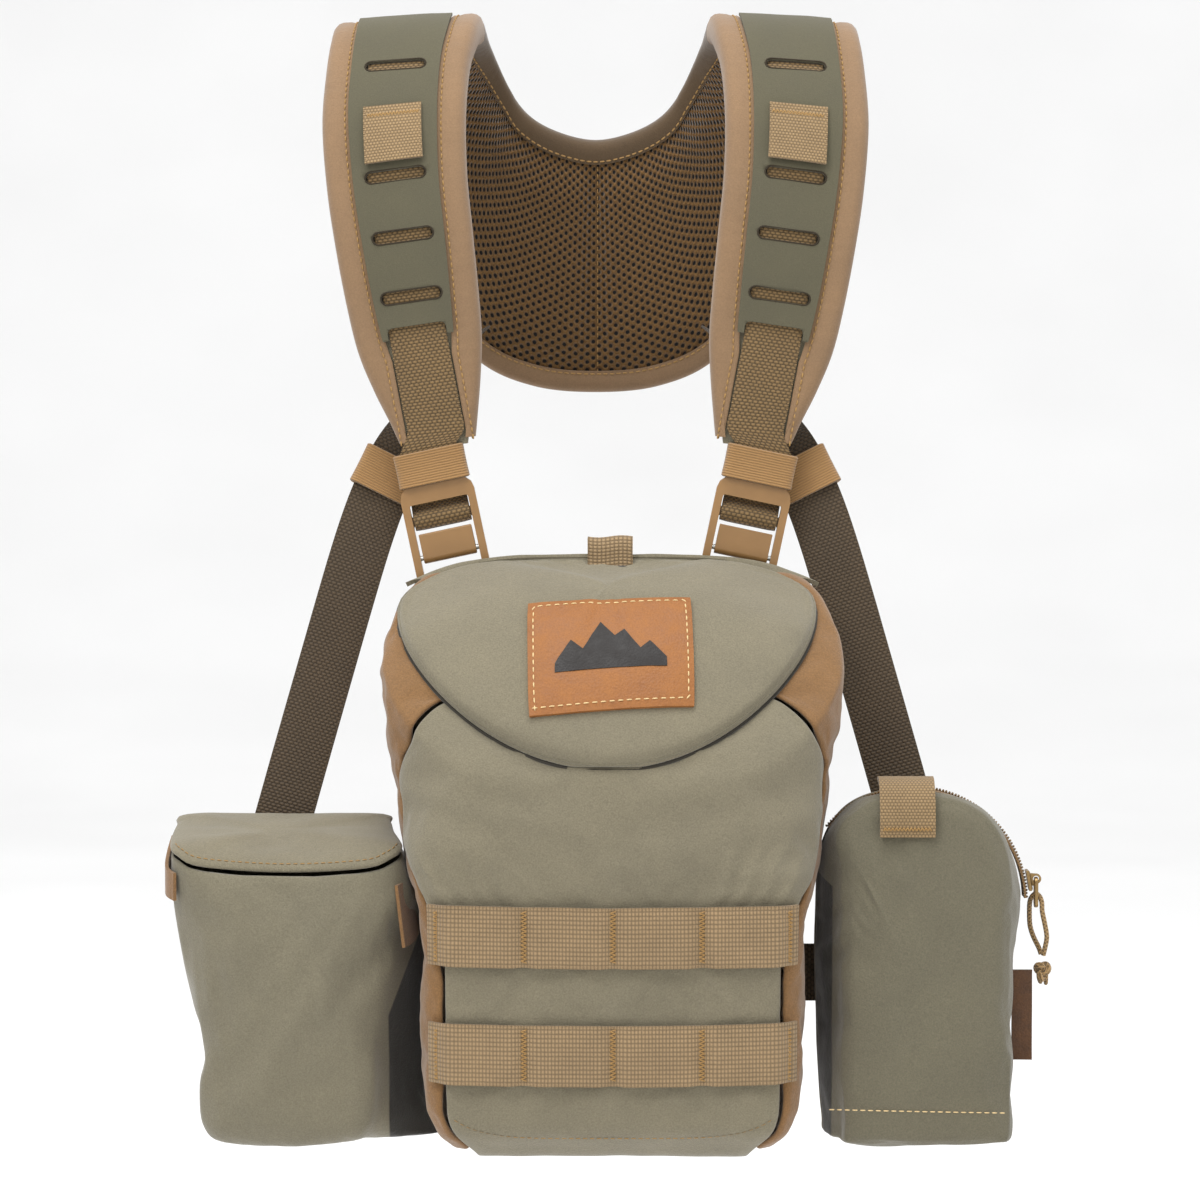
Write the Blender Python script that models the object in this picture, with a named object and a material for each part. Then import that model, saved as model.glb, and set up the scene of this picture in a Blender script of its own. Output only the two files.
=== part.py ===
"""Binocular harness pack: a chest pack and two pouches on a padded two-strap harness, in the shape it has when worn.

Lengths are in millimetres in a design frame: +X to the right of someone facing the pack, +Y from the pack's front
towards the wearer's back, +Z up. world() turns them into metres and puts the origin under the shoulder straps.
"""

import math

import bmesh
import bpy
from mathutils import Matrix, Vector

MM = 0.001
HANG_Z = 478.0  # underside of the straps where they rest on the shoulders
HARNESS_X = -7.0  # the harness hangs this far off the pack's centre line
GAP = 0.4  # clearance between touching pieces
WEB_W = 25.4  # one-inch webbing
WEB_T = 1.6

# Pack
PACK_X = 0.5
PACK_WALL = 4.0
PACK_BASE_Z = -8.0
PACK_DEPTH = 92.0
CORNER_LOW = 15.0  # the corners are tight at the webbing rows and round at the lid
CORNER_HIGH = 44.0
SEAM_Z = 160.0  # front seam, where the lid turns
BACK_TOP_Z = 249.0
BACK_PAD_RISE = 3.4
LID_T = 5.0
LID_CROWN = 9.0
LID_TURNS = 43
HINGE_Y = -95.2
HINGE_Z = 161.5
CHANNEL_W = 38.1  # between bar tacks of the webbing rows
ROW_PITCH = 50.8
ROW_UPPER_Z = 91.0
ROW_HALF = 80.0
ROW_BULGE = 1.6
LID_LIFT = 1.8  # the lid's underside above the walls' top edge
PATCH_W = 71.0
PATCH_H = 47.0

# Harness layers, as offsets from the middle surface, positive away from the wearer
MESH_LOW = -6.0
MESH_HIGH = -3.6
FOAM_HIGH = 3.2
COVER_HIGH = 4.4
WEB_LOW = 5.2
FACING_LOW = WEB_LOW + WEB_T + GAP
FACING_HIGH = FACING_LOW + 1.0
EDGE_INSET = 2.0
BINDING_LIP = 12.0
BINDING_T = 1.0
STRAP_START = 6.5  # band stations: the yoke ends and the strap starts here, on top of the shoulder
STRAP_END = 17.0
SHOULDER_SEAM = 0.1
BINDING_GAP = 0.9
FACING_START = 7.4
FACING_END = 13.85
SLOT_STATIONS = (9.15, 10.95, 11.95, 12.95)
SLOT_LENGTH = 25.4
SLOT_HEIGHT = 3.4
TAB_STATION = 9.95
TAB_H = 20.0

# Buckles
BUCKLE_X = 65.0  # from the harness centre line, at the pin
BUCKLE_Z = 251.0
BUCKLE_Y = 6.0
BUCKLE_TILT = math.radians(12.0)
BUCKLE_W = 33.4
BUCKLE_FRONT = -4.5
BUCKLE_BACK = 1.2
BUCKLE_TOP = 32.5
BUCKLE_LOW = -14.0
WINDOW_W = 26.6
WINDOW_TOP = 24.0
BAR_Z = 16.5
BAR_HALF = 1.8
BAR_FRONT = -2.0
FOOT_Z = BUCKLE_LOW + BAR_HALF
WRAP_R = 3.6  # middle of the webbing where it turns round a bar
WRAP_BACK = (BAR_FRONT + BUCKLE_BACK) / 2
PIN_BACK = -1.6
PIN_R = 1.2
PIN_HOLE_R = 1.55
GATE_W = 24.0
GATE_TOP = 10.8

# Left pouch
LEFT_MOUTH_Z = 118
LEFT_MOUTH_LEAN = 7.5
LEFT_POUCH_INNER_X = -110.0  # the mouth's points to the right of this are beside the pack

# Right pouch zip
ZIP_X = 132.5
ZIP_Z = 99.5
ZIP_Y = -34.0
ZIP_R = 48.5
ZIP_W = 9.0
ZIP_T = 1.2
ZIP_FIRST = math.radians(2.0)
ZIP_LAST = math.radians(139.0)
SLIDER_ANGLE = math.radians(10.0)
SLIDER_RISE = 4.0
TEETH_RISE = 1.0
TEETH_HALF = 1.6
PULLER_OPENING = (4.2, 10.4, 1.6)  # inside the loop, across and long, and the loop's thickness
PULLER_WALL = 1.5
SLIDER_EYE_R = 1.4  # the slider's eye round the puller's bar
SLIDER_BAIL_R = 2.3
ZIP_OPEN_POINTS = 11  # points of the pouch's outline, counted from its right side, that the zip joins
CORD_R = 1.1
EYE_DROP = 8.0  # puller eye below the puller's own hinge

# Hand-picked stations of the band that makes the yoke and the straps, from the middle of the back to the front end
NECK_EDGE = (
    (0, 133, 439), (17, 132, 442.5), (31, 130, 450), (41, 127, 462), (48, 118, 475), (51, 104, 484),
    (52, 88, 488.5), (53, 70, 489), (55, 50, 483), (58, 34, 469), (59.3, 20, 447), (58.6, 12, 420),
    (56, 8.5, 394), (53.5, 7.5, 368), (52, 7, 348), (52.5, 7, 330), (53.8, 7, 313), (55, 7, 300),
)
OUTER_EDGE = (
    (0, 150, 323), (30, 148, 326), (56, 144, 338), (80, 137, 366), (99, 127, 408), (111, 114, 448),
    (116, 96, 474), (117.5, 74, 484), (118.5, 52, 480), (120, 36, 465), (121, 21, 441), (118.5, 13, 412),
    (114.5, 9, 386), (109.5, 8, 360), (104.5, 7, 340), (97.5, 7, 323), (90.5, 7, 309), (85, 7, 297),
)
# Half-width of the pack against height
PACK_WIDTHS = (
    (-8, 58), (-5, 68), (2, 75), (14, 79.5), (40, 80.5), (70, 80.5), (100, 82), (120, 88), (142, 92),
    (160, 94.5), (180, 98), (200, 100), (217, 99), (232, 94), (250, 84),
)
# Where the front panel's side seams run, as a share of the way round the pack's outline, against height
SIDE_SEAMS = (
    (-8, 0.272), (85, 0.272), (105, 0.24), (125, 0.18), (158, 0.175), (175, 0.22), (190, 0.26), (250, 0.26),
)
SEAM_GAP = 0.009
# Route of the side strap's middle, from the yoke's lower corner to its stitched end behind the pouch
SIDE_ROUTE = (
    (60, 131, 346), (64, 112, 342), (68, 84, 333), (73, 56, 321), (79, 32, 308), (88, 19, 294),
    (97, 15, 276), (106, 11, 250), (119, 6, 205), (133, -3, 155), (141, -8.8, 126), (149, -8.8, 100),
)


def world(point):
    return Vector((point[0], point[1], point[2] - HANG_Z)) * MM


def srgb(red, green, blue):
    """A colour as seen on a screen, 0 to 255, turned into the linear values a shader takes."""
    def linear(value):
        share = value / 255
        return share / 12.92 if share <= 0.04045 else ((share + 0.055) / 1.055) ** 2.4
    return (linear(red), linear(green), linear(blue), 1)


def material(name, colour, roughness, metallic=0.0):
    made = bpy.data.materials.new(name)
    made.use_nodes = True
    shader = made.node_tree.nodes["Principled BSDF"]
    shader.inputs["Base Color"].default_value = srgb(*colour)
    shader.inputs["Roughness"].default_value = roughness
    shader.inputs["Metallic"].default_value = metallic
    made.diffuse_color = srgb(*colour)
    return made


def clear_scene():
    for old in list(bpy.data.objects):
        bpy.data.objects.remove(old)


def add_object(name, mesh_data, finish):
    """The bmesh, in design millimetres, as an object of its own with its own material."""
    bmesh.ops.recalc_face_normals(mesh_data, faces=mesh_data.faces)
    for vertex in mesh_data.verts:
        vertex.co = world(vertex.co)
    mesh = bpy.data.meshes.new(name)
    mesh_data.to_mesh(mesh)
    mesh_data.free()
    mesh.shade_smooth()
    mesh.set_sharp_from_angle(angle=math.radians(40))
    mesh.materials.append(finish)
    made = bpy.data.objects.new(name, mesh)
    bpy.context.scene.collection.objects.link(made)
    return made


def put_origin(made, point):
    """Moves an object's origin to a design point and leaves its shape where it is."""
    place = world(point)
    made.data.transform(Matrix.Translation(-place))
    made.location = place


def cut(target, cutter):
    cutter.hide_render = True
    cutter.display_type = "WIRE"
    boolean = target.modifiers.new(cutter.name, "BOOLEAN")
    boolean.operation = "DIFFERENCE"
    boolean.object = cutter


def catmull(stations, position):
    """A point on the smooth curve through the stations; a whole position is a station itself."""
    last = len(stations) - 1
    first = min(max(int(math.floor(position)), 0), last - 1)
    share = position - first
    picks = [Vector(stations[min(max(first + step, 0), last)]) for step in (-1, 0, 1, 2)]
    before, start, end, after = picks
    bend = 2 * before - 5 * start + 4 * end - after
    twist = 3 * (start - end) + after - before
    return 0.5 * (2 * start + (end - before) * share + bend * share**2 + twist * share**3)


def spread(low, high, count):
    return [low + (high - low) * step / (count - 1) for step in range(count)]


def ease(low, high, value):
    share = min(max((value - low) / (high - low), 0), 1)
    return share * share * (3 - 2 * share)


def rings_solid(rings):
    """A closed solid through rings of equal length, with a face on the first ring and on the last."""
    made = bmesh.new()
    loops = [[made.verts.new(point) for point in ring] for ring in rings]
    for near, far in zip(loops, loops[1:]):
        for step in range(len(near)):
            following = (step + 1) % len(near)
            made.faces.new((near[step], near[following], far[following], far[step]))
    made.faces.new(loops[0])
    made.faces.new(reversed(loops[-1]))
    return made


def sheet_normals(sheet):
    rows = len(sheet)
    columns = len(sheet[0])
    normals = []
    for row in range(rows):
        line = []
        for column in range(columns):
            along = sheet[min(row + 1, rows - 1)][column] - sheet[max(row - 1, 0)][column]
            across = sheet[row][min(column + 1, columns - 1)] - sheet[row][max(column - 1, 0)]
            line.append(along.cross(across).normalized())
        normals.append(line)
    return normals


def slab_solid(sheet, low, high):
    """A layer over a sheet of points, between two offsets along the sheet's normals.

    Both faces split their squares along the same diagonal, so that stacked layers never cut into each other.
    """
    normals = sheet_normals(sheet)
    made = bmesh.new()
    faces = []
    for offset in (low, high):
        rows = []
        for points, outward in zip(sheet, normals):
            rows.append([made.verts.new(point + normal * offset) for point, normal in zip(points, outward)])
        faces.append(rows)
        for near, far in zip(rows, rows[1:]):
            for step in range(len(near) - 1):
                made.faces.new((near[step], near[step + 1], far[step + 1]))
                made.faces.new((near[step], far[step + 1], far[step]))
    edges = [sheet_rim(rows) for rows in faces]
    count = len(edges[0])
    for step in range(count):
        following = (step + 1) % count
        made.faces.new((edges[0][step], edges[0][following], edges[1][following], edges[1][step]))
    return made


def sheet_rim(rows):
    """The points round a sheet's edge, in order."""
    right = [row[-1] for row in rows[1:]]
    far = rows[-1][-2::-1]
    left = [row[0] for row in rows[-2:0:-1]]
    return rows[0] + right + far + left


def box_solid(low, high, bevel=0.0):
    made = bmesh.new()
    bmesh.ops.create_cube(made, size=1)
    centre = (Vector(low) + Vector(high)) / 2
    size = Vector(high) - Vector(low)
    for vertex in made.verts:
        vertex.co = centre + Vector(part * side for part, side in zip(vertex.co, size))
    if bevel:
        bmesh.ops.bevel(made, geom=made.edges[:], offset=bevel, segments=2, affect="EDGES", profile=0.5)
    return made


def rod_solid(start, end, radius, sides=12):
    axis = (Vector(end) - Vector(start)).normalized()
    side = axis.orthogonal().normalized()
    up = axis.cross(side)
    rings = []
    for centre in (Vector(start), Vector(end)):
        angles = [2 * math.pi * step / sides for step in range(sides)]
        rings.append([centre + radius * (side * math.cos(a) + up * math.sin(a)) for a in angles])
    return rings_solid(rings)


# ---- Harness: one curved band carries the yoke and both straps ----

def band_edge(stations, position):
    """A point of the band's edge. Positions under 0 are on the left side, the mirror image of the right."""
    x, y, z = catmull(MIRRORED[stations], position + len(stations) - 1)
    return Vector((HARNESS_X + x, y, z))


def mirrored(stations):
    left = [(-x, y, z) for x, y, z in stations[:0:-1]]
    return tuple(left) + stations


MIRRORED = {NECK_EDGE: mirrored(NECK_EDGE), OUTER_EDGE: mirrored(OUTER_EDGE)}


def band_sheet(first, last, count, columns, margin_of):
    """Points over the band, kept margin_of(position) clear of each edge."""
    sheet = []
    for position in spread(first, last, count):
        inner = band_edge(NECK_EDGE, position)
        outer = band_edge(OUTER_EDGE, position)
        margin = margin_of(position) / (outer - inner).length
        shares = spread(margin, 1 - margin, columns)
        sheet.append([inner.lerp(outer, share) for share in shares])
    return sheet


def layer(name, span, counts, margin_of, offsets, finish):
    sheet = band_sheet(span[0], span[1], counts[0], counts[1], margin_of)
    return add_object(name, slab_solid(sheet, offsets[0], offsets[1]), finish)


def lip_at(position):
    """Width of a binding's lip: it narrows where the strap does, so that the webbing keeps its place."""
    inner = band_edge(NECK_EDGE, position)
    outer = band_edge(OUTER_EDGE, position)
    return max(min(BINDING_LIP, ((outer - inner).length - WEB_W) / 2 - 2 * GAP), 1.9)


def binding(name, edge, other, span, count, finish):
    """A folded tape round one edge of the band: a lip on each face and a wall past the edge."""
    rings = []
    for position in spread(span[0], span[1], count):
        here = band_edge(edge, position)
        across = (band_edge(other, position) - here).normalized()
        along = band_edge(edge, position + 0.05) - band_edge(edge, position - 0.05)
        outward = along.cross(across if edge is NECK_EDGE else -across).normalized()
        lip = lip_at(position)
        top = COVER_HIGH + BINDING_GAP
        low = MESH_LOW - BINDING_GAP
        profile = (
            (lip, top), (lip, top + BINDING_T), (1.5, top + BINDING_T), (-BINDING_T, 2.5), (-BINDING_T, -4),
            (1.5, low - BINDING_T), (lip * 0.8, low - BINDING_T), (lip * 0.8, low), (1.2, low),
            (GAP, -3.5), (GAP, 2), (1.2, top),
        )
        rings.append([here + across * inward + outward * rise for inward, rise in profile])
    return add_object(name, rings_solid(rings), finish)


def edge_margin(position):
    """The pads stop short of the band's edges, where the bindings turn round them."""
    return EDGE_INSET


def side_span(side, first, last):
    """Band positions of one side's stretch, always in rising order."""
    return tuple(sorted((side * first, side * last)))


def build_yoke(finishes):
    span = (-STRAP_START + SHOULDER_SEAM, STRAP_START - SHOULDER_SEAM)
    layer("yoke_mesh_liner", span, (25, 5), edge_margin, (MESH_LOW, MESH_HIGH), finishes["mesh"])
    layer("yoke_foam_pad", span, (25, 5), edge_margin, (MESH_HIGH + GAP, FOAM_HIGH), finishes["foam"])
    layer("yoke_outer_panel", span, (25, 5), edge_margin, (FOAM_HIGH + GAP, COVER_HIGH), finishes["olive"])
    binding("yoke_neck_binding", NECK_EDGE, OUTER_EDGE, span, 21, finishes["binding"])
    binding("yoke_lower_binding", OUTER_EDGE, NECK_EDGE, span, 21, finishes["binding"])


def slot_cutter(name, side, station):
    """A round-ended bar across the facing, long enough through it to cut right past both faces."""
    position = side * station
    inner = band_edge(NECK_EDGE, position)
    outer = band_edge(OUTER_EDGE, position)
    across = (outer - inner).normalized()
    along = (band_edge(NECK_EDGE, position + 0.1) - band_edge(NECK_EDGE, position - 0.1)).normalized()
    outward = along.cross(across).normalized()
    along = across.cross(outward)
    middle = (inner + outer) / 2 + outward * (FACING_LOW + FACING_HIGH) / 2
    radius = SLOT_HEIGHT / 2
    straight = SLOT_LENGTH / 2 - radius
    rim = []
    for end in (1, -1):
        for angle in spread(-math.pi / 2, math.pi / 2, 5):
            out = across * end * (straight + radius * math.cos(angle))
            rim.append(middle + out + along * end * radius * math.sin(angle))
    return add_object(name, rings_solid([[p - outward * 1.2 for p in rim], [p + outward * 4 for p in rim]]), None)


def strap_axis(side):
    """Unit vectors of a buckle: across the webbing, towards the wearer, and up the webbing."""
    across = Vector((math.cos(BUCKLE_TILT), 0, -side * math.sin(BUCKLE_TILT)))
    up = Vector((side * math.sin(BUCKLE_TILT), 0, math.cos(BUCKLE_TILT)))
    return across, Vector((0, 1, 0)), up


def at_buckle(side, across, back, up):
    """A point given from the middle of a buckle's pin."""
    sideways, backwards, upwards = strap_axis(side)
    centre = Vector((HARNESS_X + side * BUCKLE_X, BUCKLE_Y, BUCKLE_Z))
    return centre + sideways * across + backwards * back + upwards * up


def shoulder_webbing(name, side, finish):
    """Webbing under the facing, down through the keeper, round the buckle's bar and back up behind itself."""
    route = []
    facing = []
    for position in spread(FACING_START, STRAP_END - 0.6, 15):
        inner = band_edge(NECK_EDGE, side * position)
        outer = band_edge(OUTER_EDGE, side * position)
        along = band_edge(NECK_EDGE, side * position + 0.1) - band_edge(NECK_EDGE, side * position - 0.1)
        across = (outer - inner).normalized()
        outward = along.cross(across).normalized()
        route.append((inner + outer) / 2 + outward * (WEB_LOW + WEB_T / 2))
        facing.append(across * side)
    for back, up in ((-5.0, 47), (-3.6, 43.5), (0.6, 36.5), (2.7, 31), (2.7, 23.8), (0.6, 21.2)):
        route.append(at_buckle(side, 0, back, up))
    route += wrap_route(side, BAR_Z, 140, 370)
    for back, up in ((5.0, 24), (5.2, 31)):
        route.append(at_buckle(side, 0, back, up))
    facing += [strap_axis(side)[0]] * (len(route) - len(facing))
    sheet = []
    for point, across in zip(route, facing):
        sheet.append([point + across * share * WEB_W for share in (-0.5, 0, 0.5)])
    return add_object(name, slab_solid(sheet, -WEB_T / 2, WEB_T / 2), finish)


def wrap_route(side, bar_z, first, last):
    """The webbing's middle round a bar: 180 degrees is in front of the bar and 270 under it."""
    route = []
    for degrees in spread(first, last, 8):
        angle = math.radians(degrees)
        back = WRAP_BACK + WRAP_R * math.cos(angle)
        route.append(at_buckle(side, 0, back, bar_z + WRAP_R * math.sin(angle)))
    return route


def shoulder_tab(name, side, finish):
    """A short loose webbing tab; only its upper edge is sewn to the facing."""
    reach = TAB_H / WEB_W
    first, last = side_span(side, TAB_STATION, TAB_STATION + reach)
    sheet = []
    for position in spread(first, last, 4):
        inner = band_edge(NECK_EDGE, position)
        outer = band_edge(OUTER_EDGE, position)
        across = (outer - inner).normalized()
        middle = (inner + outer) / 2
        sheet.append([middle + across * part * WEB_W for part in (-0.5, 0, 0.5)])
    low = FACING_HIGH + GAP
    return add_object(name, slab_solid(sheet, low, low + WEB_T), finish)


def loop_round(name, centre, axes, inner, wall, finish, rounding=1.5):
    """A flat sleeve: a rounded rectangle of elastic round a strap. inner is its clear size, across, deep and long."""
    across, back, up = axes

    def rim(grow, shift):
        wide = inner[0] / 2 + grow
        deep = inner[1] / 2 + grow
        corner = rounding + grow
        points = []
        for turn, (sx, sy) in enumerate(((1, 1), (-1, 1), (-1, -1), (1, -1))):
            for angle in spread(turn * math.pi / 2, (turn + 1) * math.pi / 2, 4):
                x = sx * (wide - corner) + corner * math.cos(angle)
                y = sy * (deep - corner) + corner * math.sin(angle)
                points.append(centre + across * x + back * y + up * shift)
        return points

    half = inner[2] / 2
    rings = [rim(wall, -half), rim(wall, half), rim(0, half), rim(0, -half)]
    made = bmesh.new()
    loops = [[made.verts.new(point) for point in ring] for ring in rings]
    for near, far in zip(loops, loops[1:] + loops[:1]):
        for step in range(len(near)):
            following = (step + 1) % len(near)
            made.faces.new((near[step], near[following], far[following], far[step]))
    return add_object(name, made, finish)


def build_shoulder(side, word, finishes):
    span = side_span(side, STRAP_START + SHOULDER_SEAM, STRAP_END)
    bound = side_span(side, STRAP_START + SHOULDER_SEAM, STRAP_END - 0.5)
    rows = (17, 4)
    layer(f"shoulder_mesh_{word}", span, rows, edge_margin, (MESH_LOW, MESH_HIGH), finishes["mesh"])
    layer(f"shoulder_pad_{word}", span, rows, edge_margin, (MESH_HIGH + GAP, COVER_HIGH), finishes["olive"])
    binding(f"inner_binding_{word}", NECK_EDGE, OUTER_EDGE, bound, 16, finishes["binding"])
    binding(f"outer_binding_{word}", OUTER_EDGE, NECK_EDGE, bound, 16, finishes["binding"])
    facing_span = side_span(side, FACING_START, FACING_END)
    facing = layer(
        f"shoulder_facing_{word}", facing_span, (13, 4), lambda position: BINDING_LIP - 0.6,
        (FACING_LOW, FACING_HIGH), finishes["laminate"],
    )
    for number, station in enumerate(SLOT_STATIONS):
        cut(facing, slot_cutter(f"slot_cutter_{word}_{number}", side, station))
    shoulder_webbing(f"shoulder_webbing_{word}", side, finishes["webbing"])
    tab = shoulder_tab(f"shoulder_tab_{word}", side, finishes["webbing_light"])
    put_origin(tab, tab_hinge(side))


def tab_hinge(side):
    position = side * TAB_STATION
    inner = band_edge(NECK_EDGE, position)
    outer = band_edge(OUTER_EDGE, position)
    along = band_edge(NECK_EDGE, position + 0.1) - band_edge(NECK_EDGE, position - 0.1)
    outward = along.cross(outer - inner).normalized()
    return (inner + outer) / 2 + outward * (FACING_HIGH + GAP)


def buckle_plate(side, halves, low, high, front, back, corner):
    """A plate across a buckle with rounded corners, from one height up the webbing to another."""
    rim = []
    middle = (low + high) / 2
    tall = (high - low) / 2
    for turn, (sx, sz) in enumerate(((1, 1), (-1, 1), (-1, -1), (1, -1))):
        for angle in spread(turn * math.pi / 2, (turn + 1) * math.pi / 2, 4):
            x = sx * (halves - corner) + corner * math.cos(angle)
            z = middle + sz * (tall - corner) + corner * math.sin(angle)
            rim.append((x, z))
    return rings_solid([[at_buckle(side, x, y, z) for x, z in rim] for y in (front, back)])


def cut_window(frame, side, low, high, front, back):
    """Cuts a buckle's frame between two heights up the webbing and two depths."""
    cutter = buckle_plate(side, WINDOW_W / 2, low, high, front, back, 1.0)
    cut(frame, add_object(f"{frame.name}_cutter", cutter, None))


def build_buckle(side, word, finishes):
    plate = buckle_plate(side, BUCKLE_W / 2, BUCKLE_LOW, BUCKLE_TOP, BUCKLE_FRONT, BUCKLE_BACK, 6.0)
    frame = add_object(f"buckle_frame_{word}", plate, finishes["plastic"])
    past = 20
    cut_window(frame, side, BAR_Z + BAR_HALF, WINDOW_TOP, -past, past)
    cut_window(frame, side, FOOT_Z + BAR_HALF, BAR_Z - BAR_HALF, -past, past)
    cut_window(frame, side, FOOT_Z, WINDOW_TOP - 2, -past, BAR_FRONT)
    cut_window(frame, side, BUCKLE_LOW - 3, FOOT_Z + 3, -past, BAR_FRONT)
    add_bore(frame, side)
    reach = BUCKLE_W / 2 - 0.6
    pin = rod_solid(at_buckle(side, -reach, PIN_BACK, 0), at_buckle(side, reach, PIN_BACK, 0), PIN_R)
    add_object(f"buckle_pin_{word}", pin, finishes["steel"])
    gate = add_object(f"buckle_gate_{word}", gate_solid(side), finishes["plastic"])
    add_bore(gate, side)
    put_origin(gate, at_buckle(side, 0, PIN_BACK, 0))


def add_bore(target, side):
    """The pin's hole, with running clearance."""
    reach = BUCKLE_W
    hole = rod_solid(at_buckle(side, -reach, PIN_BACK, 0), at_buckle(side, reach, PIN_BACK, 0), PIN_HOLE_R)
    cut(target, add_object(f"{target.name}_bore_cutter", hole, None))


def gate_solid(side):
    """A cam plate that turns on the pin: a round heel, a flat face and a lip along its top edge."""
    heel = 2.7
    profile = []
    for angle in spread(math.radians(180), math.radians(360), 7):
        profile.append((PIN_BACK + heel * math.cos(angle), heel * math.sin(angle)))
    profile += [(0.6, 4.0), (-0.6, GATE_TOP - 2), (-3.2, GATE_TOP), (-4.6, GATE_TOP - 0.4), (-4.4, GATE_TOP - 2)]
    half = GATE_W / 2
    return rings_solid([[at_buckle(side, x, y, z) for y, z in profile] for x in (-half, half)])


def build_anchor(side, word, finish):
    """Webbing from the pack's back panel up to the buckle's foot bar, round it and down again."""
    sewn_x = HARNESS_X + side * 57.0
    near = 0.5 + WEB_T / 2
    far = near + WEB_T + GAP
    route = [Vector((sewn_x, near, z)) for z in (196.0, 206.0, 216.0)]
    route.append(at_buckle(side, 0, -3.9, -24))
    turn = wrap_route(side, FOOT_Z, 190, -20)
    route += turn
    route.append(at_buckle(side, 0, 1.4, -24))
    route += [Vector((sewn_x, far, z)) for z in (216.0, 206.0, 197.0)]
    straight = [Vector((1, 0, 0))] * 3
    across = straight + [strap_axis(side)[0]] * (len(turn) + 2) + straight
    sheet = [[p + a * share * WEB_W for share in (-0.5, 0, 0.5)] for p, a in zip(route, across)]
    return add_object(f"buckle_anchor_{word}", slab_solid(sheet, -WEB_T / 2, WEB_T / 2), finish)


def side_strap(name, side, finish):
    """Dark webbing from the yoke's lower corner, through the side keeper, to the back of the pouch."""
    route = []
    across = []
    for position in spread(0, len(SIDE_ROUTE) - 1, 23):
        x, y, z = catmull(SIDE_ROUTE, position)
        route.append(Vector((HARNESS_X + side * x, y, z)))
    for index in range(len(route)):
        along = route[min(index + 1, 22)] - route[max(index - 1, 0)]
        turned = ease(0.1, 0.5, index / 22)
        facing = Vector((side * 0.55, 0.0, 0.83)).lerp(Vector((0, -1, 0)), turned).normalized()
        across.append(facing.cross(along).normalized())
    sheet = [[p + a * share * WEB_W for share in (-0.5, 0, 0.5)] for p, a in zip(route, across)]
    return add_object(name, slab_solid(sheet, -WEB_T / 2, WEB_T / 2), finish)


def build_keepers(side, word, finishes):
    centre = at_buckle(side, 0, -1.0, 39.4)
    loop_round(f"elastic_keeper_{word}", centre, strap_axis(side), (29.0, 9.8, 12.4), 1.4, finishes["elastic"])
    x, y, z = catmull(SIDE_ROUTE, 5.55)
    above = catmull(SIDE_ROUTE, 5.2)
    below = catmull(SIDE_ROUTE, 5.9)
    up = Vector((side * (above.x - below.x), above.y - below.y, above.z - below.z)).normalized()
    across = Vector((0, -1, 0)).cross(up).normalized()
    back = up.cross(across)
    centre = Vector((HARNESS_X + side * x, y, z))
    loop_round(f"side_keeper_{word}", centre, (across, back, up), (27.0, 4.6, 18.0), 1.3, finishes["elastic"])


# ---- Pack ----

def read_off(table, z):
    """The value at a height, on straight lines between a table's entries."""
    for (low, near), (high, far) in zip(table, table[1:]):
        if z <= high:
            return near + (far - near) * max(z - low, 0) / (high - low)
    return table[-1][1]


def pack_half_width(z):
    return read_off(PACK_WIDTHS, z)


def pack_corner(z):
    return CORNER_LOW + (CORNER_HIGH - CORNER_LOW) * ease(95, 175, z)


def pack_front(z):
    """How far the front stands from the back panel at a height: full in the middle, drawn in at the base."""
    return PACK_DEPTH - 16 * (1 - ease(PACK_BASE_Z, 14, z)) ** 2


def pack_outline(z, turn):
    """A point of the pack's plan outline: turn goes from 0, the left rear corner, through 0.5, the front, to 1."""
    wide = pack_half_width(z)
    deep = pack_front(z)
    corner = pack_corner(z)
    side_run = deep - corner - 4
    arc = corner * math.pi / 2
    total = side_run + arc + wide - corner
    mirror = 1 if turn > 0.5 else -1
    run = (1 - abs(turn - 0.5) * 2) * total
    if run <= side_run:
        share = run / side_run
        point = (wide - 4 * (1 - share) ** 2, -4 - run)
    elif run <= side_run + arc:
        angle = (run - side_run) / corner
        point = (wide - corner * (1 - math.cos(angle)), -4 - side_run - corner * math.sin(angle))
    else:
        point = (wide - corner - (run - side_run - arc), -deep)
    return Vector((PACK_X + mirror * point[0], point[1], z))


def rim_height(point):
    """Height of the walls' top edge: low at the front seam and rising to the back."""
    forward = min(max(-point.y / PACK_DEPTH, 0), 1)
    outward = min(abs(point.x - PACK_X) / PACK_DEPTH, 1.1)
    return SEAM_Z + 86 * (1 - forward**1.6) - 9 * outward**4 * (1 - forward)


def rim_point(turn_at):
    """Where the pack's outline, at the turn given for each height, meets the lid's edge; found by halving steps."""
    height = SEAM_Z + 30
    for _ in range(14):
        height = (height + rim_height(pack_outline(height, turn_at(height)))) / 2
    return pack_outline(height, turn_at(height))


def wall_sheet(first_of, last_of, columns, rows, base):
    """Part of the pack's wall, from the base to the lid's edge, between two seams that shift with the height."""
    sheet = []
    for share in spread(0, 1, columns):
        def turn_at(z):
            return first_of(z) + (last_of(z) - first_of(z)) * share
        top = rim_point(turn_at).z
        sheet.append([pack_outline(z, turn_at(z)) for z in spread(base, top, rows)])
    return sheet


def side_seam(z):
    return read_off(SIDE_SEAMS, z)


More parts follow.
